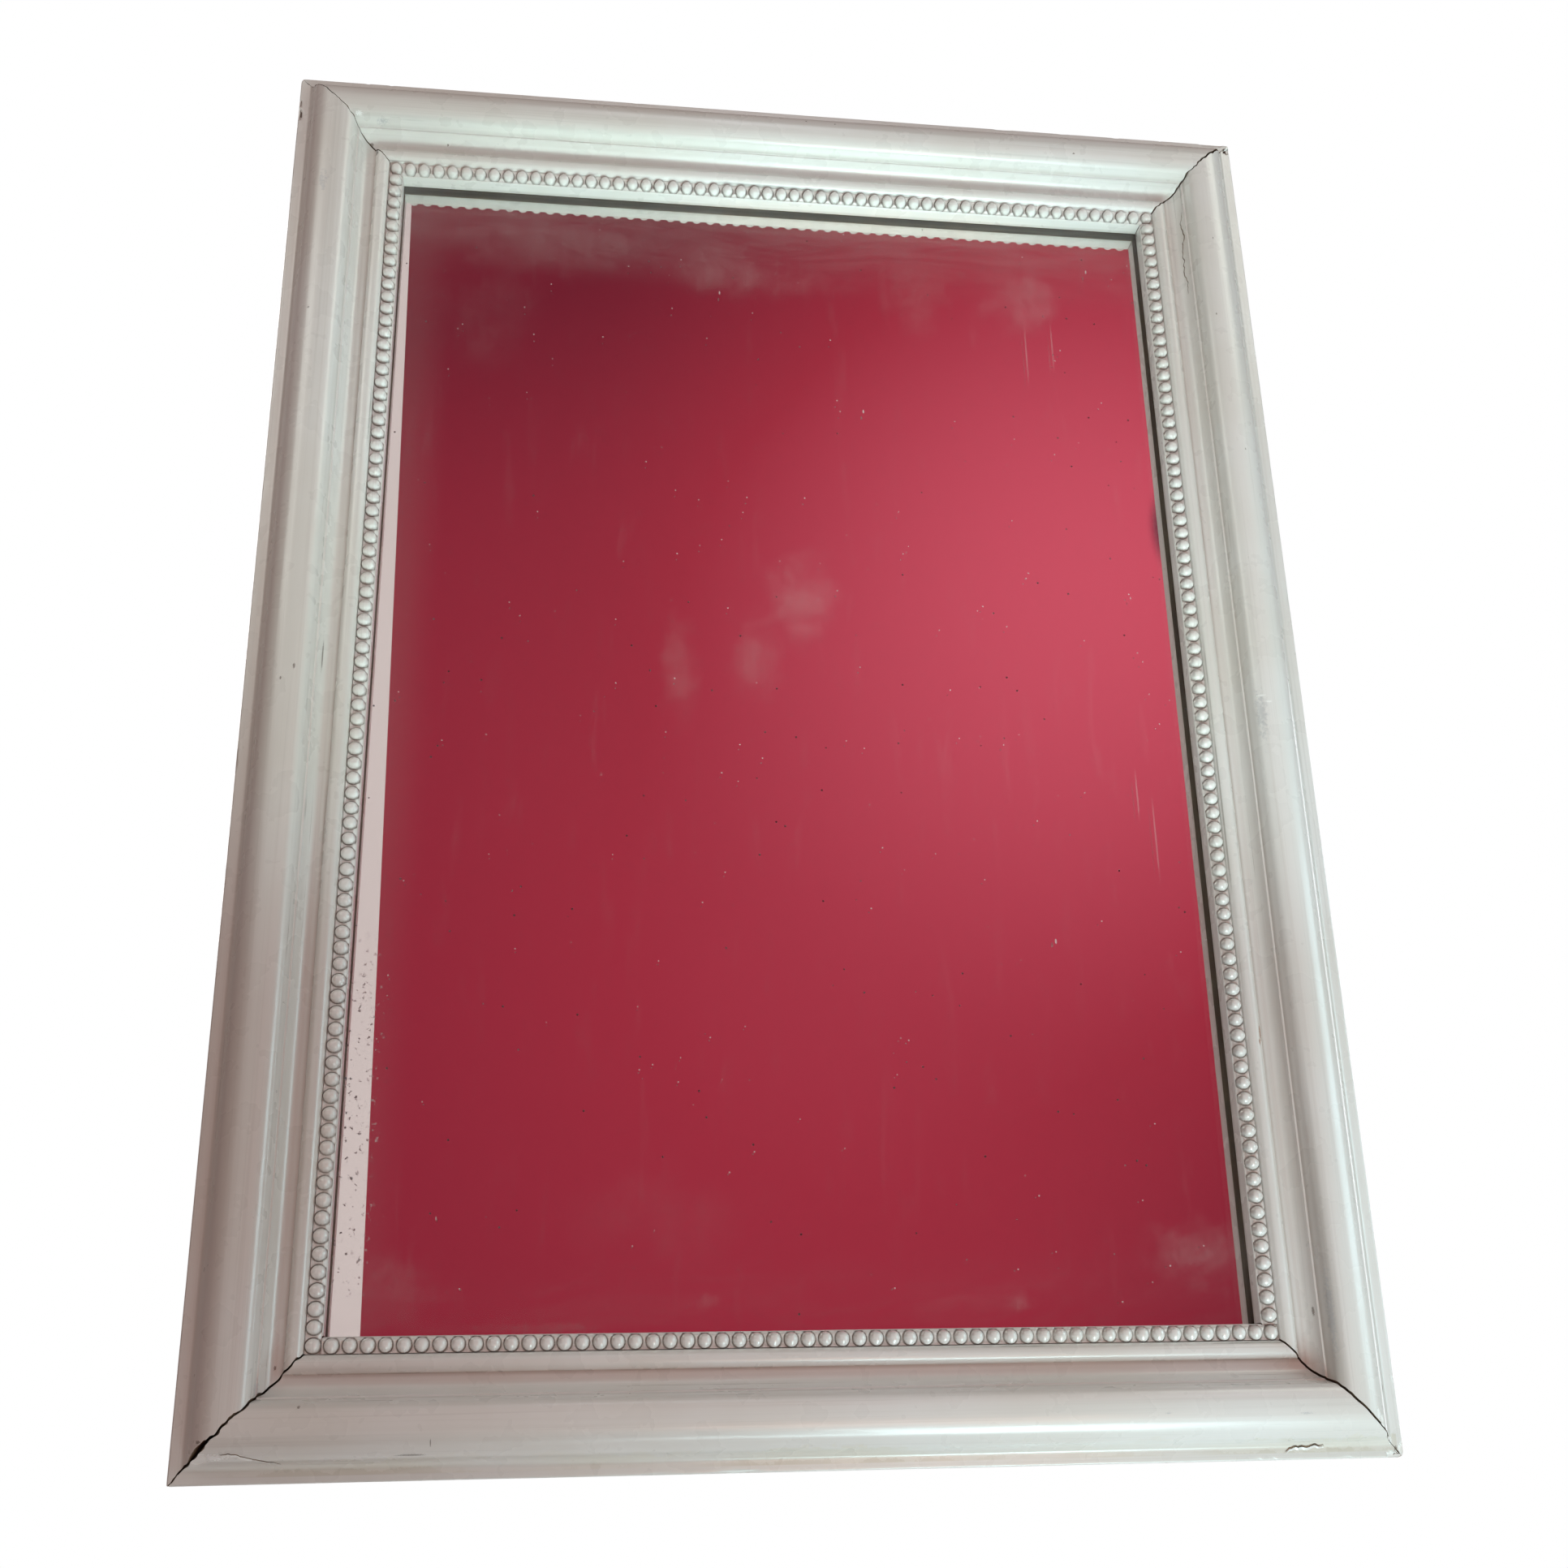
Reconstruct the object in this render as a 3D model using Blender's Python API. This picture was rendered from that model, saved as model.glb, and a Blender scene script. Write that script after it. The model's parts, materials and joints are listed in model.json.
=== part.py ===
"""Old painted wall mirror: a mitred moulding frame with pearl beading, a thick mirror glass
held by nailed pine boards, and two hanging rings on the back.

Metres, X to the right, Z up, and the mirror faces -Y. The wall plane is Y = 0. The origin is
the middle of the top rail's back face. The moulding's section is given in millimetres as
(inward from the frame's outer edge, forward from the wall).
"""
import math

import bmesh
import bpy
from mathutils import Matrix, Vector

MM = 0.001
GAP = 0.3                     # clearance between touching pieces, mm

# Driving dimensions, mm
PEARL_PITCH = 7.0
PEARLS_ACROSS = 57            # along the top and the bottom, both corner pearls counted
PEARLS_UP = 82                # along each side, both corner pearls counted
PEARL_LINE = 50.0             # from the outer edge in to the row of pearls
PEARL_RADIUS = 2.75
WIDTH = (PEARLS_ACROSS - 1) * PEARL_PITCH + 2 * PEARL_LINE
HEIGHT = (PEARLS_UP - 1) * PEARL_PITCH + 2 * PEARL_LINE

# Moulding section, mm
ARRIS = (0.0, 25.5)
ARRIS_ROUND = 0.8
STRIP_END = (4.4, 25.9)
CAVETTO_END = (7.6, 29.2)
SWELL_CREST = (20.5, 38.0)
SHOULDER_END = (28.9, 34.6)
SWELL_FOOT = (30.1, 30.4)
FILLET_START = (30.5, 29.0)
FILLET_END = (31.2, 28.8)
COVE_FLOOR = (37.0, 22.2)
RIDGE_EDGE = (39.4, 22.4)
RIDGE_CREST = (43.0, 25.7)
RIM = (46.4, 23.6)
CHANNEL = (46.9, 53.1)        # the two walls of the channel for the pearls
CHANNEL_FLOOR = 21.0
STRIP_FACE = 22.6             # the flat of the strip that the pearls stand on
LIP_TOP = 21.8
SIGHT_EDGE = 53.5
SHOULDER = 14.0               # the ledge the glass lies against
REBATE_WALL = 44.5
MITRE_BACK = 0.25             # each rail end stops this far short of the mitre, along the rail

# Mirror and backing, mm
GLASS_THICKNESS = 4.5
GLASS_SIDE_ROOM = 2.0         # from the glass edge to the rebate wall
SILVER_THICKNESS = 0.3
BOARD_BACK = 4.4              # from the wall plane to the boards
BOARD_SIDE_ROOM = 1.0
BOARD_JOINT = 0.6
PACKING_LENGTH = 32.0
PACKING_DEPTH = (9.6, 13.4)

# Nails and screws, mm
NAIL_LENGTH = 46.0
NAIL_RADIUS = 1.2
NAIL_HEAD_RADIUS = 2.3
NAIL_HEAD_HEIGHT = 1.0
NAIL_INSET = 18.0             # from the frame's top or bottom edge to the nail
NAIL_DEPTHS = (9.0, 19.0)     # forward from the wall
BRAD_LENGTH = 18.0
BRAD_RADIUS = 0.6
BRAD_HEAD_RADIUS = 1.0
BRAD_HEAD_HEIGHT = 0.5
BRAD_DEPTH = 3.0
BRAD_BITE = 9.0               # length inside the wood
SCREW_LENGTH = 12.0
SCREW_RADIUS = 1.5
SCREW_HEAD_RADIUS = 3.2
SCREW_HEAD_HEIGHT = 1.5
SCREW_DROPS = (25.0, 37.0)    # below the ring's bar

# Hangers, mm
RING_DROP = 160.0             # from the top of the frame down to the ring's bar
RING_WIRE = 1.1
RING_HALF_WIDTH = 8.0
RING_REACH = 18.0
RING_CORNER = 2.2
STRAP_WIDTH = 10.0
STRAP_THICKNESS = 1.0
STRAP_LENGTH = 43.0
STRAP_CORNER = 2.5
LOOP_PLAY = 0.35
LOOP_END_ANGLE = -70.0

SIDES = ("top", "bottom", "left", "right")
CENTRE_Z = REBATE_WALL / 2 - HEIGHT / 2
LOOP_INNER = RING_WIRE + LOOP_PLAY
LOOP_OUTER = LOOP_INNER + STRAP_THICKNESS
RING_Y = GAP + LOOP_OUTER
RING_Z = CENTRE_Z + HEIGHT / 2 - RING_DROP
HANGER_X = WIDTH / 2 - REBATE_WALL / 2


def clear_scene():
    for obj in list(bpy.data.objects):
        bpy.data.objects.remove(obj, do_unlink=True)


def make_material(name, colour, roughness, metallic=0.0, transmission=0.0):
    material = bpy.data.materials.new(name)
    material.use_nodes = True
    shader = material.node_tree.nodes["Principled BSDF"]
    shader.inputs["Base Color"].default_value = (*colour, 1.0)
    shader.inputs["Roughness"].default_value = roughness
    shader.inputs["Metallic"].default_value = metallic
    shader.inputs["Transmission Weight"].default_value = transmission
    material.diffuse_color = (*colour, 1.0)
    return material


def add_object(name, mesh_source, material, origin=(0.0, 0.0, 0.0), smooth_angle=35.0):
    """Turn a bmesh drawn in millimetres round its own origin into a named object."""
    bmesh.ops.recalc_face_normals(mesh_source, faces=mesh_source.faces)
    bmesh.ops.scale(mesh_source, vec=(MM, MM, MM), verts=mesh_source.verts)
    mesh = bpy.data.meshes.new(name)
    mesh_source.to_mesh(mesh)
    mesh_source.free()
    mesh.materials.append(material)
    mesh.shade_smooth()
    mesh.set_sharp_from_angle(angle=math.radians(smooth_angle))
    obj = bpy.data.objects.new(name, mesh)
    obj.location = Vector(origin) * MM
    bpy.context.scene.collection.objects.link(obj)
    return obj


def combine(target, tool, operation):
    """Apply a Boolean to the target and delete the tool."""
    modifier = target.modifiers.new(operation.lower(), "BOOLEAN")
    modifier.operation = operation
    modifier.solver = "EXACT"
    modifier.object = tool
    graph = bpy.context.evaluated_depsgraph_get()
    mesh = bpy.data.meshes.new_from_object(target.evaluated_get(graph))
    target.modifiers.clear()
    target.data = mesh
    bpy.data.objects.remove(tool, do_unlink=True)


# ---------------------------------------------------------------- outlines and solids

def bend(start, pull_start, pull_end, end, steps):
    """Points of a Bezier stretch after its start, up to and with its end."""
    points = []
    for step in range(1, steps + 1):
        t = step / steps
        weights = ((1 - t) ** 3, 3 * t * (1 - t) ** 2, 3 * t * t * (1 - t), t ** 3)
        corners = (start, pull_start, pull_end, end)
        points.append(tuple(sum(w * c[i] for w, c in zip(weights, corners)) for i in (0, 1)))
    return points


def arc(centre, radius, start_angle, end_angle, steps):
    """Points on a round stretch, both ends counted; angles in degrees."""
    points = []
    for step in range(steps + 1):
        angle = math.radians(start_angle + (end_angle - start_angle) * step / steps)
        points.append((centre[0] + radius * math.cos(angle), centre[1] + radius * math.sin(angle)))
    return points


def rail_outline():
    """The moulding's closed section, from the back edge over the front to the rebate."""
    points = [(0.0, 0.0)]
    points += arc((ARRIS_ROUND, ARRIS[1] - ARRIS_ROUND), ARRIS_ROUND, 180, 90, 3)
    points += [STRIP_END]
    points += bend(STRIP_END, (5.7, 26.0), (6.7, 27.4), CAVETTO_END, 3)
    points += bend(CAVETTO_END, (9.4, 34.6), (13.5, SWELL_CREST[1]), SWELL_CREST, 7)
    points += bend(SWELL_CREST, (24.0, SWELL_CREST[1]), (27.4, 37.2), SHOULDER_END, 6)
    points += [SWELL_FOOT, FILLET_START, FILLET_END]
    points += bend(FILLET_END, (32.0, 24.6), (34.0, COVE_FLOOR[1]), COVE_FLOOR, 5)
    points += [RIDGE_EDGE]
    points += bend(RIDGE_EDGE, (39.7, 24.6), (41.0, RIDGE_CREST[1]), RIDGE_CREST, 4)
    points += bend(RIDGE_CREST, (44.9, RIDGE_CREST[1]), (45.6, 24.5), RIM, 4)
    points += [(CHANNEL[0], LIP_TOP), (CHANNEL[0], CHANNEL_FLOOR)]
    points += [(CHANNEL[1], CHANNEL_FLOOR), (CHANNEL[1], LIP_TOP)]
    points += [(SIGHT_EDGE, LIP_TOP), (SIGHT_EDGE, SHOULDER)]
    points += [(REBATE_WALL, SHOULDER), (REBATE_WALL, 0.0)]
    return points


def rail_point(side, along, inward, forward):
    """A place on one side of the frame, in millimetres in the part's own axes."""
    if side == "top":
        return Vector((along, -forward, CENTRE_Z + HEIGHT / 2 - inward))
    if side == "bottom":
        return Vector((along, -forward, CENTRE_Z - HEIGHT / 2 + inward))
    if side == "left":
        return Vector((-WIDTH / 2 + inward, -forward, CENTRE_Z + along))
    return Vector((WIDTH / 2 - inward, -forward, CENTRE_Z + along))


def half_length(side):
    return (WIDTH if side in ("top", "bottom") else HEIGHT) / 2


def mitred_bar(side, outline):
    """A bar of the given section along one side of the frame, with both ends mitred."""
    bar = bmesh.new()
    ends = []
    for sign in (-1, 1):
        ring = []
        for inward, forward in outline:
            along = sign * (half_length(side) - MITRE_BACK - inward)
            ring.append(bar.verts.new(rail_point(side, along, inward, forward)))
        ends.append(ring)
    count = len(outline)
    for i in range(count):
        j = (i + 1) % count
        bar.faces.new((ends[0][i], ends[0][j], ends[1][j], ends[1][i]))
    bar.faces.new(ends[0])
    bar.faces.new(ends[1])
    return bar


def block(low, high):
    """A plain rectangular solid between two corners."""
    solid = bmesh.new()
    size = [b - a for a, b in zip(low, high)]
    middle = [(a + b) / 2 for a, b in zip(low, high)]
    bmesh.ops.create_cube(solid, size=1.0, matrix=Matrix.Translation(middle) @ Matrix.Diagonal((*size, 1.0)))
    return solid


def turned(solid, start, direction, stations, segments):
    """Add a closed turned shape to a bmesh; stations are (distance along, radius)."""
    turn = Vector((0, 0, 1)).rotation_difference(Vector(direction)).to_matrix()
    rings = []
    for distance, radius in stations:
        ring = []
        for k in range(segments):
            angle = math.tau * (k + 0.5) / segments
            local = Vector((radius * math.cos(angle), radius * math.sin(angle), distance))
            ring.append(solid.verts.new(Vector(start) + turn @ local))
        rings.append(ring)
    for near, far in zip(rings, rings[1:]):
        for k in range(segments):
            n = (k + 1) % segments
            solid.faces.new((near[k], near[n], far[n], far[k]))
    solid.faces.new(rings[0])
    solid.faces.new(rings[-1])


# ---------------------------------------------------------------- where the fasteners go

def mitre_nails():
    """(name, side rail, head place, direction) of each nail that pins a corner."""
    nails = []
    for side, direction in (("left", 1), ("right", -1)):
        for end, sign in (("top", 1), ("bottom", -1)):
            for depth, row in zip(NAIL_DEPTHS, ("rear", "front")):
                along = sign * (HEIGHT / 2 - NAIL_INSET)
                place = rail_point(side, along, GAP, depth)
                nails.append((f"mitre_nail_{end}_{side}_{row}", side, end, place, (direction, 0, 0)))
    return nails


def brads():
    """(name, side, inner end place, direction into the wood) of each brad over the boards."""
    places = []
    quarter = (HEIGHT / 2 - REBATE_WALL) / 4
    rows = {"left": (-3, -1, 1, 3), "right": (-3, -1, 1, 3), "top": (-1.8, 1.8), "bottom": (-1.8, 1.8)}
    outward = {"left": (-1, 0, 0), "right": (1, 0, 0), "top": (0, 0, 1), "bottom": (0, 0, -1)}
    for side in SIDES:
        for number, step in enumerate(rows[side], start=1):
            inner_end = REBATE_WALL + BRAD_LENGTH - BRAD_BITE
            place = rail_point(side, step * quarter, inner_end, BRAD_DEPTH)
            places.append((f"brad_{side}_{number}", side, place, outward[side]))
    return places


def hanger_screws():
    """(name, side, place on the strap's face) of each screw."""
    places = []
    for side, sign in (("left", -1), ("right", 1)):
        for drop, row in zip(SCREW_DROPS, ("upper", "lower")):
            place = Vector((sign * HANGER_X, 0.0, RING_Z - drop))
            places.append((f"hanger_screw_{side}_{row}", side, place))
    return places


# ---------------------------------------------------------------- the pieces

def make_rails(paint):
    rails = {side: add_object(f"rail_{side}", mitred_bar(side, rail_outline()), paint) for side in SIDES}
    holes = {side: bmesh.new() for side in SIDES}
    nail_hole = NAIL_RADIUS + GAP
    head_hole = NAIL_HEAD_RADIUS + GAP
    for _, side, end, place, direction in mitre_nails():
        mouth = place - Vector(direction) * 1.0
        floor = 1.0 + NAIL_HEAD_HEIGHT + GAP
        stations = [(0, head_hole), (floor, head_hole), (floor, nail_hole), (NAIL_LENGTH + 2, nail_hole)]
        turned(holes[side], mouth, direction, stations, 10)
        turned(holes[end], mouth, direction, [(0, nail_hole), (NAIL_LENGTH + 2, nail_hole)], 10)
    for _, side, place, direction in brads():
        start = BRAD_LENGTH - BRAD_BITE - 1.0
        stations = [(start, BRAD_RADIUS + GAP), (BRAD_LENGTH + GAP, BRAD_RADIUS + GAP)]
        turned(holes[side], place, direction, stations, 8)
    for _, side, place in hanger_screws():
        stations = [(-1.0, SCREW_RADIUS + GAP), (SCREW_LENGTH, SCREW_RADIUS + GAP)]
        turned(holes[side], place, (0, -1, 0), stations, 10)
    for side in SIDES:
        combine(rails[side], add_object(f"holes_{side}", holes[side], paint), "DIFFERENCE")


def pearl(solid, centre):
    """Add one six-sided pearl, standing forward (towards -Y) out of its strip."""
    stations = ((-0.4, PEARL_RADIUS), (0.0, PEARL_RADIUS), (0.75 * PEARL_RADIUS, 0.7 * PEARL_RADIUS))
    segments = 6
    rings = []
    for rise, radius in stations:
        ring = []
        for k in range(segments):
            angle = math.tau * k / segments
            offset = Vector((radius * math.cos(angle), -rise, radius * math.sin(angle)))
            ring.append(solid.verts.new(centre + offset))
        rings.append(ring)
    tip = solid.verts.new(centre + Vector((0, -PEARL_RADIUS, 0)))
    for near, far in zip(rings, rings[1:]):
        for k in range(segments):
            n = (k + 1) % segments
            solid.faces.new((near[k], near[n], far[n], far[k]))
    for k in range(segments):
        solid.faces.new((rings[-1][k], rings[-1][(k + 1) % segments], tip))
    solid.faces.new(rings[0])


def cut_ends(solid, side):
    """Mitre both ends of a bar and close them again."""
    for sign in (-1, 1):
        corner = rail_point(side, sign * (half_length(side) - MITRE_BACK), 0.0, 0.0)
        inner = rail_point(side, sign * (half_length(side) - MITRE_BACK - 10.0), 10.0, 0.0)
        away = rail_point(side, sign * half_length(side), 0.0, 0.0) - rail_point(side, 0.0, 0.0, 0.0)
        normal = (inner - corner).cross(Vector((0, 1, 0))).normalized()
        if normal.dot(away) < 0:
            normal = -normal
        geometry = solid.verts[:] + solid.edges[:] + solid.faces[:]
        bmesh.ops.bisect_plane(solid, geom=geometry, plane_co=corner * MM, plane_no=normal, clear_outer=True)
        open_edges = [edge for edge in solid.edges if edge.is_boundary]
        bmesh.ops.holes_fill(solid, edges=open_edges)
    bmesh.ops.recalc_face_normals(solid, faces=solid.faces)


def make_pearl_strips(paint):
    base_back = CHANNEL_FLOOR + GAP
    edges = (CHANNEL[0] + GAP, CHANNEL[1] - GAP)
    for side in SIDES:
        count = PEARLS_ACROSS if side in ("top", "bottom") else PEARLS_UP
        reach = half_length(side) - edges[0]
        back_corner = rail_point(side, -reach, edges[0], base_back)
        corners = (back_corner, rail_point(side, reach, edges[1], STRIP_FACE))
        low = [min(a, b) for a, b in zip(*corners)]
        high = [max(a, b) for a, b in zip(*corners)]
        strip = add_object(f"pearl_strip_{side}", block(low, high), paint)
        pearls = bmesh.new()
        for i in range(count):
            along = (i - (count - 1) / 2) * PEARL_PITCH
            pearl(pearls, rail_point(side, along, PEARL_LINE, STRIP_FACE))
        combine(strip, add_object(f"pearls_{side}", pearls, paint), "UNION")
        solid = bmesh.new()
        solid.from_mesh(strip.data)
        cut_ends(solid, side)
        solid.to_mesh(strip.data)
        solid.free()


def make_mirror(glass, silver):
    half_x = WIDTH / 2 - REBATE_WALL - GLASS_SIDE_ROOM
    half_z = HEIGHT / 2 - REBATE_WALL - GLASS_SIDE_ROOM
    front = SHOULDER - GAP
    back = front - GLASS_THICKNESS
    low_z, high_z = CENTRE_Z - half_z, CENTRE_Z + half_z
    add_object("mirror_glass", block((-half_x, -front, low_z), (half_x, -back, high_z)), glass)
    front = back - GAP
    back = front - SILVER_THICKNESS
    add_object("mirror_silvering", block((-half_x, -front, low_z), (half_x, -back, high_z)), silver)
    return back


def make_backing(silver_back, bare_wood):
    half_x = WIDTH / 2 - REBATE_WALL - BOARD_SIDE_ROOM
    half_z = HEIGHT / 2 - REBATE_WALL - BOARD_SIDE_ROOM
    front = silver_back - GAP
    halves = {"upper": (BOARD_JOINT / 2, half_z), "lower": (-half_z, -BOARD_JOINT / 2)}
    for name, (low, high) in halves.items():
        corners = (-half_x, -front, CENTRE_Z + low), (half_x, -BOARD_BACK, CENTRE_Z + high)
        add_object(f"back_board_{name}", block(*corners), bare_wood)


def make_packing(bare_wood):
    """Thin wooden slips that keep the glass centred in its rebate."""
    inner = REBATE_WALL + GLASS_SIDE_ROOM - GAP
    upper = HEIGHT / 4
    places = {"left": (upper, -upper), "right": (upper, -upper), "top": (0.0,), "bottom": (0.0,)}
    for side, rows in places.items():
        for number, along in enumerate(rows, start=1):
            start = rail_point(side, along - PACKING_LENGTH / 2, REBATE_WALL + GAP, PACKING_DEPTH[0])
            end = rail_point(side, along + PACKING_LENGTH / 2, inner, PACKING_DEPTH[1])
            low = [min(a, b) for a, b in zip(start, end)]
            high = [max(a, b) for a, b in zip(start, end)]
            add_object(f"packing_slip_{side}_{number}", block(low, high), bare_wood)


def make_nails(steel):
    for name, _, _, place, direction in mitre_nails():
        nail = bmesh.new()
        head = NAIL_HEAD_HEIGHT
        stations = [(0, NAIL_HEAD_RADIUS), (head, NAIL_HEAD_RADIUS), (head, NAIL_RADIUS),
                    (NAIL_LENGTH - 4, NAIL_RADIUS), (NAIL_LENGTH, 0.3)]
        turned(nail, place, direction, stations, 10)
        add_object(name, nail, steel)
    for name, _, place, direction in brads():
        brad = bmesh.new()
        head = BRAD_HEAD_HEIGHT
        stations = [(0, BRAD_HEAD_RADIUS), (head, BRAD_HEAD_RADIUS), (head, BRAD_RADIUS),
                    (BRAD_LENGTH, BRAD_RADIUS)]
        turned(brad, place, direction, stations, 8)
        add_object(name, brad, steel)


def strap_outline():
    """The strap's side view as (behind the wall plane, up from the ring's bar)."""
    centre = (RING_Y, 0.0)
    foot = -STRAP_LENGTH
    points = [(GAP, foot)]
    points += arc(centre, LOOP_OUTER, 180, LOOP_END_ANGLE, 14)
    points += arc(centre, LOOP_INNER, LOOP_END_ANGLE, 180, 14)
    points += [(GAP + STRAP_THICKNESS, foot)]
    return points


def make_hangers(brass, steel):
    for side, sign in (("left", -1), ("right", 1)):
        origin = Vector((sign * HANGER_X, 0.0, RING_Z))
        strap = bmesh.new()
        faces = []
        for x in (-STRAP_WIDTH / 2, STRAP_WIDTH / 2):
            faces.append([strap.verts.new((x, y, z)) for y, z in strap_outline()])
        count = len(faces[0])
        for i in range(count):
            j = (i + 1) % count
            strap.faces.new((faces[0][i], faces[0][j], faces[1][j], faces[1][i]))
        strap.faces.new(faces[0])
        strap.faces.new(faces[1])
        foot_edges = [edge for edge in strap.edges
                      if all(abs(v.co.z + STRAP_LENGTH) < 0.01 for v in edge.verts)
                      and abs(edge.verts[0].co.x - edge.verts[1].co.x) < 0.01]
        bmesh.ops.bevel(strap, geom=foot_edges, offset=STRAP_CORNER, segments=3, profile=0.5, affect="EDGES")
        strap_object = add_object(f"hanger_strap_{side}", strap, brass, origin)
        holes = bmesh.new()
        for drop in SCREW_DROPS:
            stations = [(-1.0, SCREW_RADIUS + GAP), (3.0, SCREW_RADIUS + GAP)]
            turned(holes, (0, 0, -drop), (0, 1, 0), stations, 12)
        combine(strap_object, add_object("strap_holes", holes, brass, origin), "DIFFERENCE")
        add_object(f"hanging_ring_{side}", ring_solid(), brass, origin + Vector((0, RING_Y, 0)))
    for name, _, place in hanger_screws():
        screw = bmesh.new()
        under_head = 2 * GAP + STRAP_THICKNESS
        top = under_head + SCREW_HEAD_HEIGHT
        stations = [(0, 0.8 * SCREW_HEAD_RADIUS), (0.5, SCREW_HEAD_RADIUS),
                    (SCREW_HEAD_HEIGHT, SCREW_HEAD_RADIUS), (SCREW_HEAD_HEIGHT, SCREW_RADIUS),
                    (top + SCREW_LENGTH - 4, SCREW_RADIUS), (top + SCREW_LENGTH - 1, 0.3)]
        turned(screw, place + Vector((0, top, 0)), (0, -1, 0), stations, 12)
        add_object(name, screw, steel)


def ring_path():
    """The ring's centre line in its own plane: (across, up from its bar), all round."""
    bottom = -RING_REACH
    round_centre = (0.0, bottom + RING_HALF_WIDTH)
    corner_x = RING_HALF_WIDTH - RING_CORNER
    points = arc((corner_x, -RING_CORNER), RING_CORNER, 90, 0, 3)
    points += arc(round_centre, RING_HALF_WIDTH, 0, -180, 12)
    points += arc((-corner_x, -RING_CORNER), RING_CORNER, 180, 90, 3)
    return points


def ring_solid():
    """A closed wire loop of round section that follows ring_path."""
    solid = bmesh.new()
    path = [Vector((x, 0, z)) for x, z in ring_path()]
    count = len(path)
    segments = 8
    rings = []
    for i, point in enumerate(path):
        before = (point - path[i - 1]).normalized()
        after = (path[(i + 1) % count] - point).normalized()
        tangent = (before + after).normalized()
        stretch = 1.0 / max(0.5, tangent.dot(before))
        across = tangent.cross(Vector((0, 1, 0)))
        ring = []
        for k in range(segments):
            angle = math.tau * (k + 0.5) / segments
            offset = across * (RING_WIRE * stretch * math.cos(angle))
            ring.append(solid.verts.new(point + offset + Vector((0, RING_WIRE * math.sin(angle), 0))))
        rings.append(ring)
    for i in range(count):
        near, far = rings[i], rings[(i + 1) % count]
        for k in range(segments):
            n = (k + 1) % segments
            solid.faces.new((near[k], near[n], far[n], far[k]))
    return solid


def main():
    clear_scene()
    paint = make_material("painted_wood", (0.74, 0.72, 0.69), 0.32)
    pearl_paint = make_material("painted_pearls", (0.76, 0.75, 0.71), 0.28)
    glass = make_material("glass", (0.90, 0.95, 0.93), 0.02, transmission=1.0)
    silver = make_material("silver", (0.86, 0.85, 0.84), 0.04, metallic=1.0)
    bare_wood = make_material("bare_wood", (0.46, 0.31, 0.18), 0.75)
    steel = make_material("steel", (0.32, 0.29, 0.27), 0.45, metallic=1.0)
    brass = make_material("brass", (0.66, 0.50, 0.24), 0.35, metallic=1.0)
    make_rails(paint)
    make_pearl_strips(pearl_paint)
    silver_back = make_mirror(glass, silver)
    make_backing(silver_back, bare_wood)
    make_packing(bare_wood)
    make_nails(steel)
    make_hangers(brass, steel)


main()
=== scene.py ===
import json
import math
import random

import bmesh
import bpy
from mathutils import Matrix, Quaternion, Vector, noise


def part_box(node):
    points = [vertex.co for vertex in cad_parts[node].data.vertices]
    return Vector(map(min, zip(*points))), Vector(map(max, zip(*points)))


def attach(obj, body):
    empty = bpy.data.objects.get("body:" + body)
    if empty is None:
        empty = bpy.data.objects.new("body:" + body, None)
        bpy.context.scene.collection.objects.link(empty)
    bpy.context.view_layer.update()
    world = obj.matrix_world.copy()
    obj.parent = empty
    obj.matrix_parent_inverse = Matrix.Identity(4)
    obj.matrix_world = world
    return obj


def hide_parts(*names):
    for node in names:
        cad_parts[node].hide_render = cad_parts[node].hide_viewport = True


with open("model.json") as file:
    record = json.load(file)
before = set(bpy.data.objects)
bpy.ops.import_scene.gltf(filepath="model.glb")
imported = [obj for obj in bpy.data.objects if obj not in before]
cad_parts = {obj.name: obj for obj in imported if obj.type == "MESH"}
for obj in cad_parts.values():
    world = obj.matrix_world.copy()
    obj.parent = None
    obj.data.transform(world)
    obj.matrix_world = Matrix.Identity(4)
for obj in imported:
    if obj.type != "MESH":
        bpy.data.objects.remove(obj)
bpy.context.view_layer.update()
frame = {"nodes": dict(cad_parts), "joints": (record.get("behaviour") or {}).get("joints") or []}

# Old painted wall mirror. Metres, Z up, the mirror faces -Y, the wall plane is Y = 0.
# The moulding's section is in millimetres: (inward from the outer edge, forward from the wall).
MM = 0.001
SIDES = ("top", "bottom", "left", "right")

# ---- sizes read from the frame
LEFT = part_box("rail_left")[0].x
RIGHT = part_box("rail_right")[1].x
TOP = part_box("rail_top")[1].z
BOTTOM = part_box("rail_bottom")[0].z
CENTRE = Vector(((LEFT + RIGHT) / 2, 0.0, (TOP + BOTTOM) / 2))
HALF_WIDTH = (RIGHT - LEFT) / 2 / MM
HALF_HEIGHT = (TOP - BOTTOM) / 2 / MM

# ---- the moulding's section, mm
ARRIS = (0.0, 25.5)
ARRIS_ROUND = 0.8
STRIP_END = (4.4, 25.9)
CAVETTO_END = (7.6, 29.2)
SWELL_CREST = (20.5, 38.0)
SHOULDER_END = (28.9, 34.6)
SWELL_FOOT = (30.1, 30.4)
FILLET_START = (30.5, 29.0)
FILLET_END = (31.2, 28.8)
COVE_FLOOR = (37.0, 22.2)
RIDGE_EDGE = (39.4, 22.4)
RIDGE_CREST = (43.0, 25.7)
RIM = (46.4, 23.6)
CHANNEL = (46.9, 53.1)
CHANNEL_FLOOR = 21.0
LIP_TOP = 21.8
WORN_LIP = 20.3
SIGHT_EDGE = 53.5
SHOULDER = 14.0
REBATE_WALL = 44.5

# ---- pearls, mm
PEARL_PITCH = 7.0
PEARL_LINE = 50.0
PEARL_HALF = 2.78
PEARL_ACROSS_HALF = 3.02
PEARL_RISE = 2.80
PEARLS_ACROSS = 57
PEARLS_UP = 82


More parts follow.
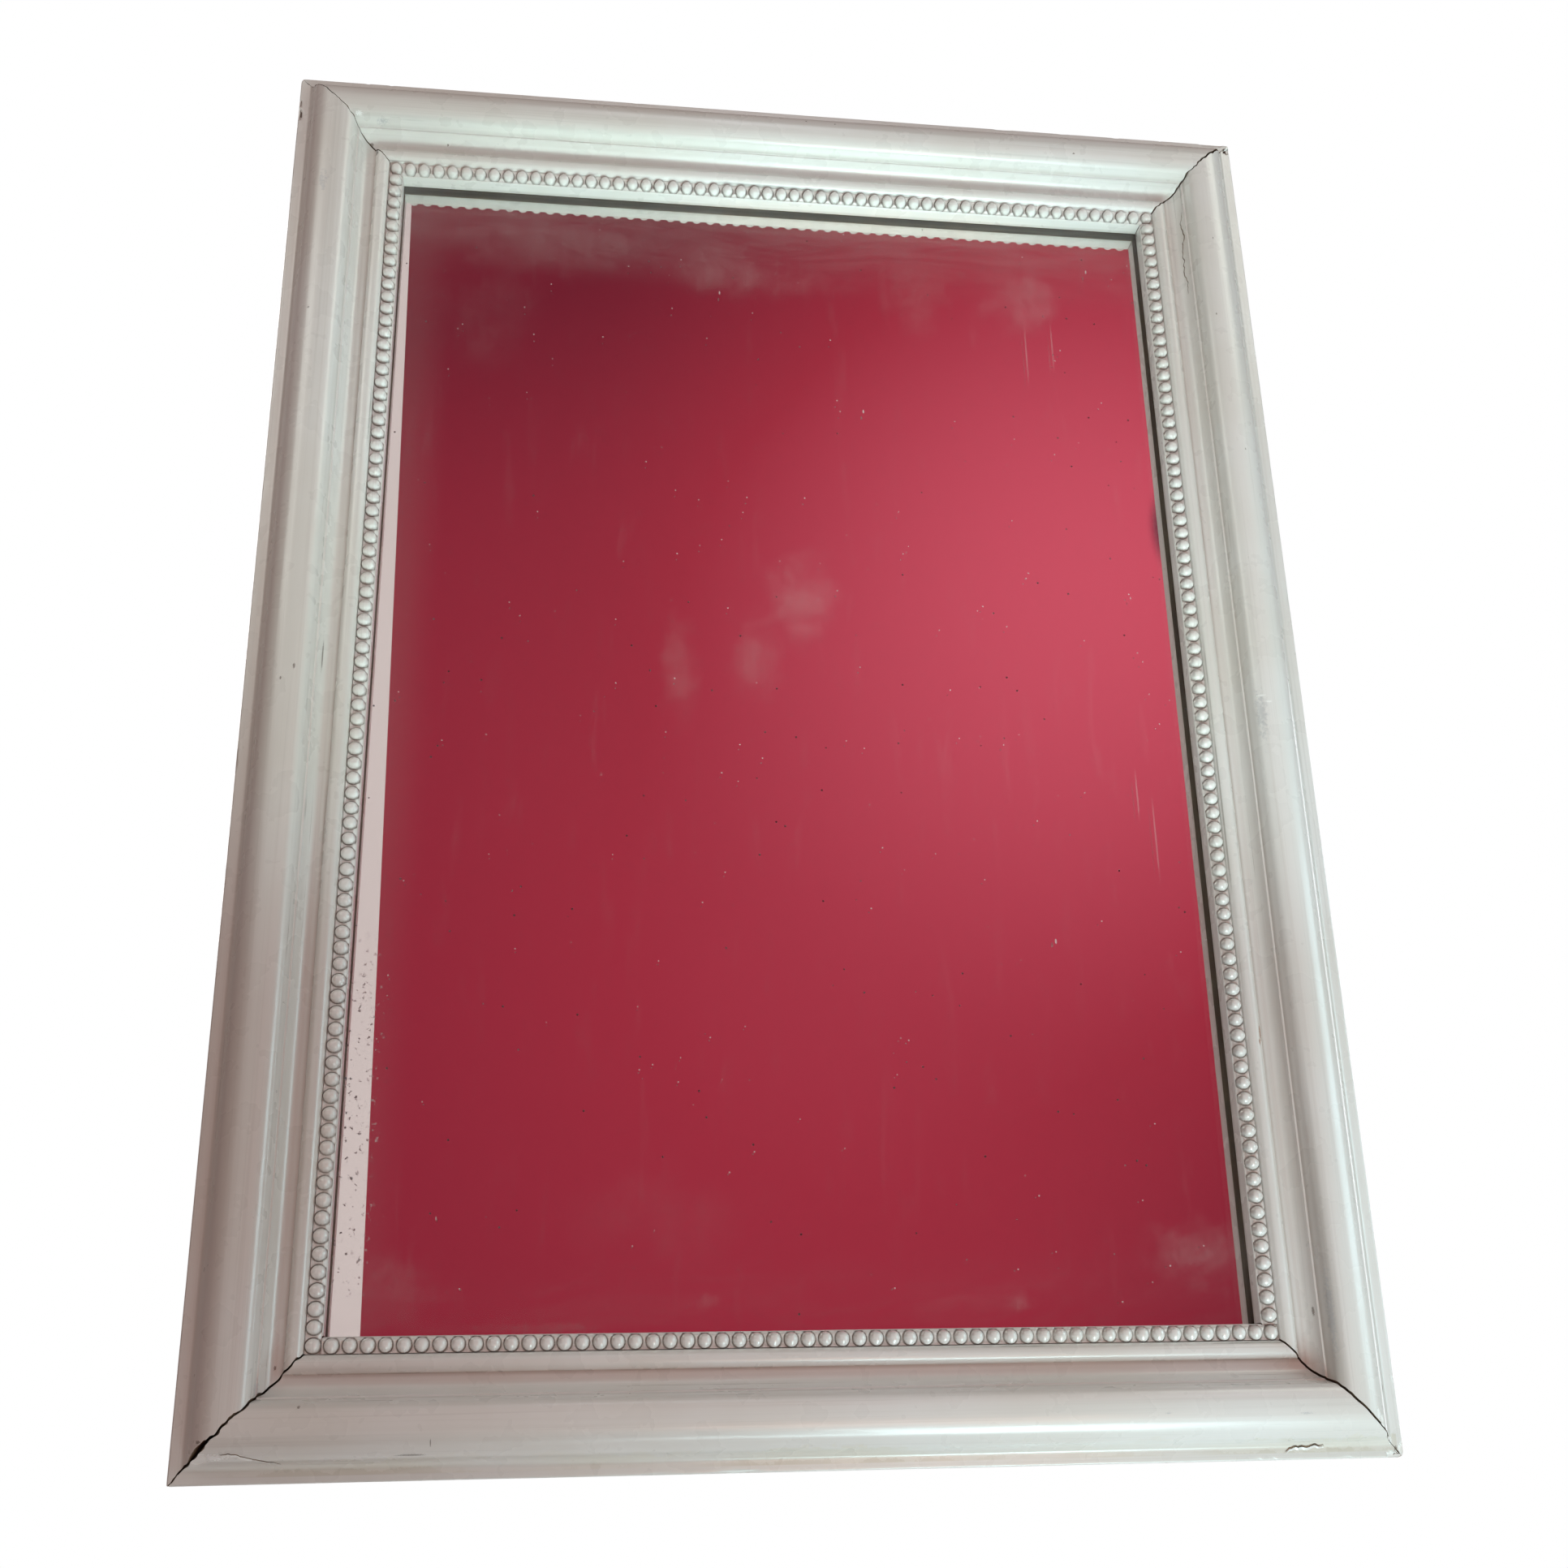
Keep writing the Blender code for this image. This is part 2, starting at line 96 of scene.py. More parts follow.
# ==== small tools

def smooth(low, high, value):
    t = min(1.0, max(0.0, (value - low) / (high - low)))
    return t * t * (3 - 2 * t)


def bump_at(value, centre, half_width):
    """1 at the centre, falling smoothly to 0 at the half width."""
    return 1 - smooth(0.0, 1.0, abs(value - centre) / half_width)


def wobble(scale_along, scale_across, along, across, seed):
    """Smooth noise, about -1 to 1, with its own size along and across a rail (both in mm)."""
    return noise.noise(Vector((along / scale_along, across / scale_across, seed * 7.31)))


def rail_point(side, along, inward, forward):
    """A place on one side of the frame, in metres, from millimetres along, inward and forward."""
    if side == "top":
        place = (CENTRE.x + along * MM, -forward * MM, TOP - inward * MM)
    elif side == "bottom":
        place = (CENTRE.x + along * MM, -forward * MM, BOTTOM + inward * MM)
    elif side == "left":
        place = (LEFT + inward * MM, -forward * MM, CENTRE.z + along * MM)
    else:
        place = (RIGHT - inward * MM, -forward * MM, CENTRE.z + along * MM)
    return Vector(place)


def half_length(side):
    return HALF_WIDTH if side in ("top", "bottom") else HALF_HEIGHT


def corners_of(side):
    """The corner at the low end of a side, then the one at its high end."""
    if side in ("top", "bottom"):
        return (side, "left"), (side, "right")
    return ("bottom", side), ("top", side)


def link_object(name, data):
    made = bpy.data.objects.new(name, data)
    bpy.context.scene.collection.objects.link(made)
    return made


def finish_mesh(name, solid, materials, angle=35.0):
    """Make a named object of a bmesh, with outward faces and smooth shading."""
    bmesh.ops.recalc_face_normals(solid, faces=solid.faces)
    mesh = bpy.data.meshes.new(name)
    solid.to_mesh(mesh)
    solid.free()
    for material in materials:
        mesh.materials.append(material)
    mesh.shade_smooth()
    mesh.set_sharp_from_angle(angle=math.radians(angle))
    return link_object(name, mesh)


def loft(solid, rings):
    """Skin a row of closed rings; gives each face with its place round the ring."""
    made = []
    for near, far in zip(rings, rings[1:]):
        for k in range(len(near)):
            n = (k + 1) % len(near)
            made.append((k, solid.faces.new((near[k], near[n], far[n], far[k]))))
    return made


def cap(solid, rings):
    return [solid.faces.new(ring) for ring in (rings[0], rings[-1])]


def skin(solid, rows):
    """Skin a grid of vertices that doesn't close on itself."""
    for near, far in zip(rows, rows[1:]):
        for k in range(len(near) - 1):
            solid.faces.new((near[k], near[k + 1], far[k + 1], far[k]))


def store(piece, values_by_name):
    """Give a piece's vertices their places (three numbers each) and other values by name."""
    for name, values in values_by_name.items():
        if isinstance(values[0], tuple):
            spot = piece.data.attributes.new(name, "FLOAT_VECTOR", "POINT")
            spot.data.foreach_set("vector", [v for place in values for v in place])
        else:
            piece.data.attributes.new(name, "FLOAT", "POINT").data.foreach_set("value", values)


def settle(piece, body, slot_name, *nodes):
    """Say which body a piece rides on, and hide the CAD nodes that it stands for; slot_name is not used."""
    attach(piece, body)
    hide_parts(*nodes)


def bend(start, pull_start, pull_end, end, steps):
    points = []
    for step in range(1, steps + 1):
        t = step / steps
        weights = ((1 - t) ** 3, 3 * t * (1 - t) ** 2, 3 * t * t * (1 - t), t ** 3)
        corners = (start, pull_start, pull_end, end)
        points.append(tuple(sum(w * c[i] for w, c in zip(weights, corners)) for i in (0, 1)))
    return points


def straight(start, end, steps):
    return [tuple(a + (b - a) * step / steps for a, b in zip(start, end)) for step in range(1, steps + 1)]


def arc(centre, radius, start_angle, end_angle, steps):
    points = []
    for step in range(steps + 1):
        angle = math.radians(start_angle + (end_angle - start_angle) * step / steps)
        points.append((centre[0] + radius * math.cos(angle), centre[1] + radius * math.sin(angle)))
    return points


# ==== shader tools

class Shade:
    """A material and short calls for the nodes in it."""

    def __init__(self, name):
        self.material = bpy.data.materials.new(name)
        self.material.use_nodes = True
        self.nodes = self.material.node_tree.nodes
        self.links = self.material.node_tree.links
        self.shader = self.nodes["Principled BSDF"]
        self.output = self.nodes["Material Output"]
        self.colour = None

    def put(self, socket, value):
        if isinstance(value, bpy.types.NodeSocket):
            self.links.new(value, socket)
        elif isinstance(value, (tuple, list)) and len(value) == 3 and socket.type == "RGBA":
            socket.default_value = (*value, 1.0)
        else:
            socket.default_value = value

    def node(self, kind, inputs=None, **settings):
        made = self.nodes.new(kind)
        for key, value in settings.items():
            setattr(made, key, value)
        for key, value in (inputs or {}).items():
            self.put(made.inputs[key], value)
        return made

    def set(self, name, value):
        self.put(self.shader.inputs[name], value)

    def bumpy(self, *layers):
        """Lay bumps over each other: (height, strength, distance), the coarsest first."""
        normal = None
        for height, strength, distance in layers:
            inputs = {"Height": height, "Strength": strength, "Distance": distance}
            if normal is not None:
                inputs["Normal"] = normal
            normal = self.node("ShaderNodeBump", inputs).outputs["Normal"]
        self.set("Normal", normal)

    def maths(self, operation, a, b=0.0):
        return self.node("ShaderNodeMath", {0: a, 1: b}, operation=operation).outputs[0]

    def vector_maths(self, operation, a, b=(0.0, 0.0, 0.0)):
        return self.node("ShaderNodeVectorMath", {0: a, 1: b}, operation=operation).outputs

    def place(self):
        return self.node("ShaderNodeTexCoord").outputs["Object"]

    def attribute(self, name, output="Vector"):
        return self.node("ShaderNodeAttribute", attribute_name=name).outputs[output]

    def grain(self, vector, scales, detail, rough=0.55, distortion=0.0):
        return self.noise(self.scaled(vector, scales), 1.0, detail, rough, distortion)

    def scaled(self, vector, scale):
        return self.vector_maths("MULTIPLY", vector, scale)[0]

    def noise(self, vector, scale=1.0, detail=3.0, rough=0.55, distortion=0.0):
        inputs = {"Vector": vector, "Scale": scale, "Detail": detail, "Roughness": rough,
                  "Distortion": distortion}
        return self.node("ShaderNodeTexNoise", inputs).outputs["Fac"]

    def dots(self, vector, scale, size, pick, stretch=(1.0, 1.0, 1.0)):
        """Small round dots; size is (radius, where it is full), pick a noise that thins them out."""
        inputs = {"Vector": self.scaled(vector, stretch), "Scale": scale}
        away = self.node("ShaderNodeTexVoronoi", inputs).outputs["Distance"]
        pick_scale, pick_low, pick_high = pick
        picked = self.span(self.noise(vector, pick_scale, 1.0), pick_low, pick_high)
        return self.both(self.span(away, *size), picked)

    def span(self, value, low, high, to_low=0.0, to_high=1.0):
        inputs = {0: value, 1: low, 2: high, 3: to_low, 4: to_high}
        return self.node("ShaderNodeMapRange", inputs, interpolation_type="SMOOTHSTEP").outputs[0]

    def mix(self, factor, a, b):
        made = self.node("ShaderNodeMix", data_type="RGBA", blend_type="MIX")
        self.put(made.inputs[0], factor)
        self.put(made.inputs[6], a)
        self.put(made.inputs[7], b)
        return made.outputs[2]

    def tint(self, factor, tone):
        self.colour = self.mix(factor, self.colour, tone)

    def both(self, first, *others):
        for other in others:
            first = self.maths("MULTIPLY", first, other)
        return first

    def plus(self, a, b):
        return self.maths("ADD", a, b)

    def minus(self, a, b):
        return self.maths("SUBTRACT", a, b)

    def most(self, a, b):
        return self.maths("MAXIMUM", a, b)

    def split(self, vector):
        return self.node("ShaderNodeSeparateXYZ", {0: vector}).outputs

    def blob(self, vector, centre, radii, ragged=0.0, edge=0.75):
        """1 inside an ellipsoid at centre, 0 outside; ragged breaks up its edge."""
        offset = self.vector_maths("SUBTRACT", vector, tuple(centre))[0]
        shrunk = self.scaled(offset, tuple(1.0 / r for r in radii))
        length = self.vector_maths("LENGTH", shrunk)["Value"]
        if ragged:
            rough = self.noise(vector, 1.6 / min(radii), 4.0)
            length = self.plus(length, self.span(rough, 0.3, 0.7, -ragged, ragged))
        return self.span(length, 1.0, edge)


# ==== materials

def forward_at(inward):
    """How far forward the painted surface stands at one inward distance, mm."""
    outline = painted_outline()
    for near, far in zip(outline, outline[1:]):
        if near[0] <= inward <= far[0] and far[0] > near[0]:
            return near[1] + (far[1] - near[1]) * (inward - near[0]) / (far[0] - near[0])
    return LIP_TOP


def mark_place(side, along, inward):
    return rail_point(side, along, inward, forward_at(inward))


# Where the paint is stained or chipped: (side, along, inward, radii in mm across X, Y, Z)
DARK_SPECKS = (
    ("left", 0.6, 23.2, (0.5, 2, 1.4)), ("left", -5.3, 17.9, (0.4, 2, 0.9)),
    ("left", 291.0, 40.0, (1.0, 2, 1.5)), ("left", 12.0, 33.0, (0.3, 2, 7.5)),
    ("left", -318.0, 12.0, (1.0, 2, 0.7)), ("left", 187.5, 15.5, (0.5, 2, 0.6)),
    ("left", -291.5, 36.2, (0.5, 2, 0.9)), ("bottom", -148.0, 13.6, (0.25, 2, 1.6)),
    ("bottom", -155.5, 9.4, (5.8, 2, 0.35)), ("bottom", -198.0, 27.2, (0.6, 2, 0.6)),
    ("top", -209.0, 36.2, (1.0, 2, 1.3)), ("top", -171.0, 33.8, (0.5, 2, 0.6)),
    ("top", 154.0, 23.5, (0.6, 2, 0.5)), ("top", -60.0, 12.0, (0.5, 2, 0.4)),
    ("top", 12.0, 14.0, (0.6, 2, 0.5)), ("top", 27.0, 15.0, (0.5, 2, 0.4)),
    ("right", -330.0, 3.5, (0.7, 2, 1.2)), ("right", -306.5, 6.5, (0.4, 2, 1.8)),
    ("right", -275.5, 32.0, (0.35, 2, 2.0)), ("right", 214.5, 24.2, (0.35, 2, 0.7)),
    ("right", 261.5, 21.0, (0.3, 2, 0.6)), ("right", 135.0, 18.0, (0.3, 2, 0.6)),
)
GREY_SMEARS = (
    ("right", -8.0, 26.5, (3.2, 3, 16.0)), ("top", -203.0, 29.5, (3.6, 3, 1.6)),
    ("left", 261.5, 17.0, (2.6, 3, 7.0)), ("right", -275.0, 28.5, (2.0, 3, 22.0)),
    ("left", -299.5, 30.5, (1.5, 3, 5.0)), ("bottom", 201.0, 17.8, (3.4, 2, 0.6)),
    ("bottom", 143.0, 18.8, (1.6, 2, 0.6)),
)
WHITE_SCUFFS = (
    ("right", 1.6, 26.0, (2.4, 2, 0.55)), ("right", -1.6, 22.6, (1.6, 2, 0.5)),
    ("bottom", -229.5, 9.9, (5.5, 2, 1.3)), ("right", -316.5, 13.8, (0.8, 2, 2.4)),
    ("top", -214.5, 28.0, (1.6, 2, 1.0)), ("right", -326.5, 5.8, (0.8, 2, 1.6)),
)
RUST_MARKS = (("right", -156.6, 40.6, (0.5, 2, 3.6)), ("right", -160.8, 41.4, (0.35, 2, 1.3)))
# Each kind with how ragged it is, where its edge ends, its strength and its colour
PAINT_MARKS = (
    (GREY_SMEARS, 0.45, 0.1, 0.45, (0.40, 0.42, 0.45)),
    (WHITE_SCUFFS, 0.5, 0.75, 0.9, (0.93, 0.93, 0.92)),
    (DARK_SPECKS, 0.4, 0.75, 0.75, (0.13, 0.10, 0.08)),
    (RUST_MARKS, 0.4, 0.75, 0.85, (0.34, 0.13, 0.05)),
)
# The rails' stored places along are set this far apart, in metres, so that no two rails share a grain
SIDE_STEP = 2.0


def lacquer_material(name, with_marks, hollow_dirt_and_shade_strength=0.55, hollow_dirt_and_shade_colour=(0.44, 0.40, 0.35)):
    """Old off-white semi-gloss lacquer, brushed along the rails."""
    shade = Shade(name)
    place = shade.place()
    rail = shade.attribute("rail_place")
    inward = shade.split(rail)[1]
    hollow = shade.attribute("hollow", "Fac")
    streaks = shade.grain(rail, (6.0, 900.0, 200.0), 4.0, 0.6)
    long_streaks = shade.grain(rail, (2.2, 260.0, 60.0), 3.0, 0.5)
    clouds = shade.noise(place, 9.0, 3.0)
    fine = shade.noise(place, 900.0, 2.0)

    shade.colour = shade.mix(shade.span(clouds, 0.35, 0.65), (0.755, 0.735, 0.700), (0.80, 0.79, 0.775))
    shade.tint(shade.span(streaks, 0.52, 0.72, 0.0, 0.35), (0.60, 0.585, 0.56))
    shade.tint(shade.span(long_streaks, 0.5, 0.75, 0.0, 0.45), (0.66, 0.635, 0.60))
    # darker in the hollows: dirt along the rails, and painted shade in the pearls' valleys
    hollow_dirt_and_shade = shade.both(shade.span(hollow, 0.15, 0.9), shade.span(clouds, 0.3, 0.6, 0.45, 1.0))
    shade.tint(shade.both(hollow_dirt_and_shade, hollow_dirt_and_shade_strength), hollow_dirt_and_shade_colour)

    # dark hairlines that follow the hollows and the foot of the swell: partly dirt in the paint, partly
    # painted shade in these creases and in the gap beside the pearls
    along_breaks = shade.grain(rail, (14.0, 30.0, 30.0), 3.0)
    for line, width in ((6.6 * MM, 0.20 * MM), (29.3 * MM, 0.16 * MM), (31.3 * MM, 0.20 * MM),
                        (33.4 * MM, 0.14 * MM), (39.3 * MM, 0.22 * MM), (46.1 * MM, 0.50 * MM)):
        wander = shade.span(long_streaks, 0.3, 0.7, -0.35 * MM, 0.35 * MM)
        away = shade.maths("ABSOLUTE", shade.minus(shade.plus(inward, wander), line))
        thin = shade.both(shade.span(away, width, 0.2 * width), shade.span(along_breaks, 0.53, 0.66), 0.5)
        shade.tint(thin, (0.16, 0.135, 0.11))

    # small dark pinholes in the paint
    pinholes = shade.dots(place, 55.0, (0.035, 0.02), (23.0, 0.60, 0.66))
    shade.tint(shade.both(pinholes, 0.75), (0.12, 0.10, 0.08))

    roughness = shade.span(shade.noise(place, 60.0, 3.0), 0.3, 0.7, 0.25, 0.33)
    if with_marks:
        low = shade.split(place)[2]
        ragged = shade.span(shade.noise(place, 70.0, 5.0, 0.7), 0.3, 0.7, -2.2 * MM, 2.2 * MM)
        near_bottom = shade.span(shade.plus(low, ragged), BOTTOM + 9.0 * MM, BOTTOM + 7.5 * MM)
        patchy = shade.span(shade.grain(place, (7.0, 40.0, 40.0), 2.0), 0.36, 0.56)
        inner_limit = shade.span(inward, 2.4 * MM, 3.0 * MM)
        yellow = shade.both(near_bottom, patchy, inner_limit)
        shade.tint(shade.both(yellow, 0.38), (0.70, 0.66, 0.52))
        lower_edge = shade.both(yellow, shade.span(shade.plus(inward, ragged), 3.9 * MM, 3.5 * MM))
        shade.tint(shade.both(lower_edge, 0.35), (0.50, 0.46, 0.36))
        # painted shade over the lower left corner, where less light reaches
        painted_shade_lower_left = shade.blob(place, (-0.235, 0.0, CENTRE.z - 0.20), (0.17, 1.0, 0.34), 0.0, 0.2)
        shade.tint(shade.both(painted_shade_lower_left, 0.34), (0.50, 0.455, 0.42))
        # painted shade down the flank between the swell and the ridge on the lower part of the right rail
        flank_centre = mark_place("right", -300.0, 28.0)
        painted_shade_right_flank = shade.blob(place, flank_centre, (4.4 * MM, 20.0 * MM, 150.0 * MM), 0.0, 0.2)
        right_only = shade.span(shade.split(rail)[0], 2.5 * SIDE_STEP, 2.6 * SIDE_STEP)
        shade.tint(shade.both(painted_shade_right_flank, right_only, 0.5), (0.36, 0.33, 0.29))
        for marks, raggedness, edge, strength, tone in PAINT_MARKS:
            for side, along, inward_mm, radii in marks:
                centre = mark_place(side, along, inward_mm)
                blob = shade.blob(place, centre, [r * MM for r in radii], raggedness, edge)
                shade.tint(shade.both(blob, strength), tone)
                if marks is WHITE_SCUFFS:
                    roughness = shade.most(roughness, shade.both(blob, 0.8))
        bare = shade.attribute("bare", "Fac")
        shade.tint(shade.span(bare, 0.35, 0.6), (0.86, 0.85, 0.82))
        worn = shade.span(bare, 1.3, 1.6)
        shade.tint(worn, (0.10, 0.07, 0.05))
        roughness = shade.most(roughness, shade.span(bare, 0.35, 0.6, 0.0, 0.7))
    shade.set("Base Color", shade.colour)
    shade.set("Roughness", roughness)
    shade.set("Specular IOR Level", 0.55)
    shade.set("Coat Weight", 0.25)
    shade.set("Coat Roughness", 0.12)
    orange_peel = shade.noise(place, 160.0, 3.0)
    shade.bumpy((streaks, 0.22, 0.15 * MM), (orange_peel, 0.14, 0.12 * MM), (fine, 0.10, 0.03 * MM))
    return shade.material


def wood_material(name, light, dark, grain_axis, along_rails=False):
    """Bare softwood with its grain along one axis (0 for X, 2 for Z) or along the rails."""
    shade = Shade(name)
    place = shade.attribute("rail_place") if along_rails else shade.place()
    squeeze = [38.0, 38.0, 38.0]
    squeeze[grain_axis] = 0.9
    grained = shade.scaled(place, tuple(squeeze))
    warp = shade.noise(grained, 1.0, 2.0, 0.5, 0.3)
    rings = shade.maths("FRACT", shade.maths("MULTIPLY", warp, 12.0))
    late = shade.both(shade.span(rings, 0.25, 0.95), shade.span(rings, 1.0, 0.97))
    fibres_scale = [1500.0, 1500.0, 1500.0]
    fibres_scale[grain_axis] = 30.0
    fibres = shade.grain(place, tuple(fibres_scale), 2.0)
    blotch = shade.noise(place, 14.0, 4.0)
    shade.colour = shade.mix(late, light, dark)
    shade.tint(shade.span(fibres, 0.4, 0.7, 0.0, 0.35), tuple(0.55 * c for c in dark))
    shade.tint(shade.span(blotch, 0.45, 0.75, 0.0, 0.5), tuple(0.5 * c for c in light))
    shade.set("Base Color", shade.colour)
    shade.set("Roughness", shade.span(fibres, 0.3, 0.7, 0.62, 0.80))
    shade.bumpy((fibres, 0.5, 0.2 * MM), (late, 0.3, 0.15 * MM))
    return shade.material


def metal_material(name, colour, stain, roughness):
    shade = Shade(name)
    place = shade.place()
    patches = shade.span(shade.noise(place, 260.0, 5.0, 0.65), 0.45, 0.68)
    scratches = shade.grain(place, (2500.0, 2500.0, 300.0), 2.0)
    mixed = shade.mix(shade.both(patches, 0.8), colour, stain)
    scratched = shade.span(scratches, 0.5, 0.8, 0.0, 0.25)
    shade.set("Base Color", shade.mix(scratched, mixed, tuple(0.6 * c for c in colour)))
    shade.set("Metallic", shade.span(patches, 0.0, 1.0, 1.0, 0.45))
    shade.set("Roughness", shade.span(patches, 0.0, 1.0, roughness, roughness + 0.35))
    shade.bumpy((scratches, 0.2, 0.05 * MM))
    return shade.material


def glass_material():
    """Clear plate glass with dust, wipe marks and a film of dirt on its face."""
    shade = Shade("plate_glass")
    place = shade.place()
    shade.set("Base Color", (0.955, 0.985, 0.97))
    shade.set("Transmission Weight", 1.0)
    shade.set("IOR", 1.52)
    shade.set("Roughness", 0.0)
    x, y, z = shade.split(place)[:3]

    dust = shade.node("ShaderNodeBsdfDiffuse", {"Color": (0.80, 0.76, 0.74)}).outputs[0]
    wisps = shade.noise(place, 26.0, 6.0, 0.72, 1.2)
    hairs = shade.grain(place, (330.0, 1.0, 75.0), 3.0, 0.6, 1.5)
    swirl = shade.grain(place, (10.0, 1.0, 60.0), 5.0, 0.7, 2.0)
    rub = shade.grain(place, (120.0, 1.0, 14.0), 4.0, 0.7, 0.8)
    glass_left, glass_bottom = LEFT + SIGHT_EDGE * MM, BOTTOM + SIGHT_EDGE * MM
    glass_top = TOP - SIGHT_EDGE * MM

    film = shade.plus(shade.span(shade.minus(x, glass_left), 0.030, 0.004, 0.0, 0.04), 0.006)
    top_film = shade.span(shade.minus(glass_top, z), 0.055, 0.006, 0.0, 0.10)
    film = shade.plus(film, shade.both(top_film, shade.span(swirl, 0.35, 0.65, 0.35, 1.0)))
    low_film = shade.span(shade.minus(z, glass_bottom), 0.035, 0.002, 0.0, 0.03)
    film = shade.plus(film, shade.both(low_film, shade.span(swirl, 0.4, 0.7, 0.2, 1.0)))
    # wiped smudges: (x, z from the middle in mm, radius across, radius up, strength)
    smudges = ((-34, 243, 22, 14, 0.30), (-15, 236, 48, 10, 0.14), (126, 234, 20, 20, 0.26),
               (70, 236, 16, 26, 0.12), (7, 56, 17, 24, 0.20), (-52, 16, 9, 26, 0.13),
               (-16, 24, 12, 20, 0.12), (176, -249, 26, 13, 0.20), (-120, 250, 60, 16, 0.15),
               (-150, 205, 26, 30, 0.07), (-60, -232, 40, 20, 0.06), (-40.6, -268, 6, 3.5, 0.22),
               (91, -269.5, 6, 4, 0.18), (-168, -262, 16, 16, 0.14), (-109, -277.5, 24, 2.4, 0.30))
    texture = shade.both(shade.span(wisps, 0.35, 0.70, 0.35, 1.0), shade.span(hairs, 0.3, 0.7, 0.6, 1.0))
    for sx, sz, rx, rz, strength in smudges:
        centre = (CENTRE.x + sx * MM, -SHOULDER * MM, CENTRE.z + sz * MM)
        blob = shade.blob(place, centre, (1.3 * rx * MM, 1.0, 1.3 * rz * MM), 0.2, 0.0)
        film = shade.plus(film, shade.both(blob, texture, 0.55 * strength))
    # runs: (x, z from the middle in mm, half length)
    for sx, sz, height in ((163.5, -41, 14), (170.5, -62, 22), (127, 200, 20), (141, 205, 16)):
        centre = (CENTRE.x + sx * MM, -SHOULDER * MM, CENTRE.z + sz * MM)
        drip = shade.blob(place, centre, (0.45 * MM, 1.0, height * MM), 0.25, 0.5)
        film = shade.plus(film, shade.both(drip, 0.16))
    film = shade.plus(film, shade.both(shade.span(rub, 0.55, 0.75), 0.018))
    motes = shade.dots(place, 150.0, (0.070, 0.045), (61.0, 0.50, 0.56))
    lint = shade.dots(place, 70.0, (0.036, 0.024), (47.0, 0.55, 0.58), (1.0, 1.0, 0.35))
    film = shade.plus(shade.plus(film, shade.both(motes, 0.40)), shade.both(lint, 0.5))
    front_only = shade.span(y, (-SHOULDER + 1.0) * MM, (-SHOULDER + 0.4) * MM)
    film = shade.both(shade.maths("MINIMUM", film, 0.75), front_only)
    layered = shade.node("ShaderNodeMixShader", {0: film, 1: shade.shader.outputs[0], 2: dust})
    shade.links.new(layered.outputs[0], shade.output.inputs["Surface"])
    return shade.material


def silver_material():
    """Mirror silvering with foxed edges and dark pinholes."""
    shade = Shade("old_silvering")
    place = shade.place()
    x, _, z = shade.split(place)[:3]
    fine = shade.noise(place, 420.0, 4.0, 0.7)
    cloud = shade.noise(place, 40.0, 4.0)
    left_edge = shade.span(shade.minus(x, LEFT + SIGHT_EDGE * MM), 0.020, 0.004)
    height = shade.minus(z, CENTRE.z)
    low_stretch = shade.both(shade.span(height, -0.10, -0.16), shade.span(height, -0.27, -0.25))
    foxing = shade.both(left_edge, low_stretch, shade.span(fine, 0.60, 0.66))
    specks = shade.most(foxing, shade.dots(place, 130.0, (0.070, 0.048), (53.0, 0.49, 0.52)))
    shade.set("Base Color", shade.mix(specks, (0.93, 0.905, 0.90), (0.07, 0.04, 0.04)))
    shade.set("Metallic", shade.span(specks, 0.0, 1.0, 1.0, 0.1))
    shade.set("Roughness", shade.plus(shade.both(specks, 0.4), shade.span(cloud, 0.5, 0.8, 0.0, 0.012)))
    return shade.material


# ==== the rails

# How each mitre has opened: half gap in mm along the joint, as (inward, half gap) knots
MITRE_GAPS = {
    ("bottom", "left"): ((0, 0.14), (3, 0.22), (8, 0.50), (10, 1.15), (13, 1.00), (16, 0.46), (24, 0.42),
                         (32, 0.38), (40, 0.34), (54, 0.3)),
    ("bottom", "right"): ((0, 0.16), (4, 0.10), (8, 0.14), (14, 0.36), (24, 0.46), (34, 0.42),
                          (44, 0.34), (54, 0.2)),
    ("top", "right"): ((0, 0.02), (4, 0.03), (7, 0.28), (12, 0.45), (20, 0.42), (27, 0.22), (36, 0.34),
                       (44, 0.28), (54, 0.1)),
    ("top", "left"): ((0, 0.02), (6, 0.10), (14, 0.20), (20, 0.14), (30, 0.16), (38, 0.30),
                      (44, 0.18), (54, 0.06)),
}
GAP_SCALE = 1.65
# How far each joint strays from the true mitre, and the radius that its outer corner is worn to, in mm
MITRE_RAGGED = {("bottom", "left"): 0.95, ("bottom", "right"): 0.4, ("top", "right"): 0.9,
                ("top", "left"): 0.6}
CORNER_ROUND = {("bottom", "left"): 0.9, ("bottom", "right"): 2.6, ("top", "right"): 2.2,
                ("top", "left"): 3.0}


def knots_value(knots, at):
    for (x0, y0), (x1, y1) in zip(knots, knots[1:]):
        if at <= x1:
            return y0 + (y1 - y0) * smooth(x0, x1, at)
    return knots[-1][1]


def mitre_retreat(side, corner, inward):
    """How far a rail stops short of the true mitre, in mm along the rail."""
    gap = knots_value(MITRE_GAPS[corner], inward)
    seed = 3.0 + SIDES.index(corner[0]) * 2 + SIDES.index(corner[1])
    stray = MITRE_RAGGED[corner] * (noise.noise(Vector((inward / 3.1, seed, 0.5)))
                                    + 0.8 * noise.noise(Vector((inward / 1.1, seed, 4.5))))
    own = 0.10 * gap * noise.noise(Vector((inward / 0.7, seed + SIDES.index(side) * 11, 9.5)))
    sign = 1 if side in ("top", "bottom") else -1
    return max(-0.9, gap * GAP_SCALE + sign * stray + own)


def round_corner(side, along, inward):
    """Pull a place near an outer corner in to that corner's worn round."""
    radius = CORNER_ROUND[corners_of(side)[0 if along < 0 else 1]]
    short = radius - (half_length(side) - abs(along))
    shallow = radius - inward
    reach = math.hypot(short, shallow)
    if short <= 0 or shallow <= 0 or reach <= radius:
        return along, inward
    pull = radius / reach
    return math.copysign(half_length(side) - radius + short * pull, along), radius - shallow * pull


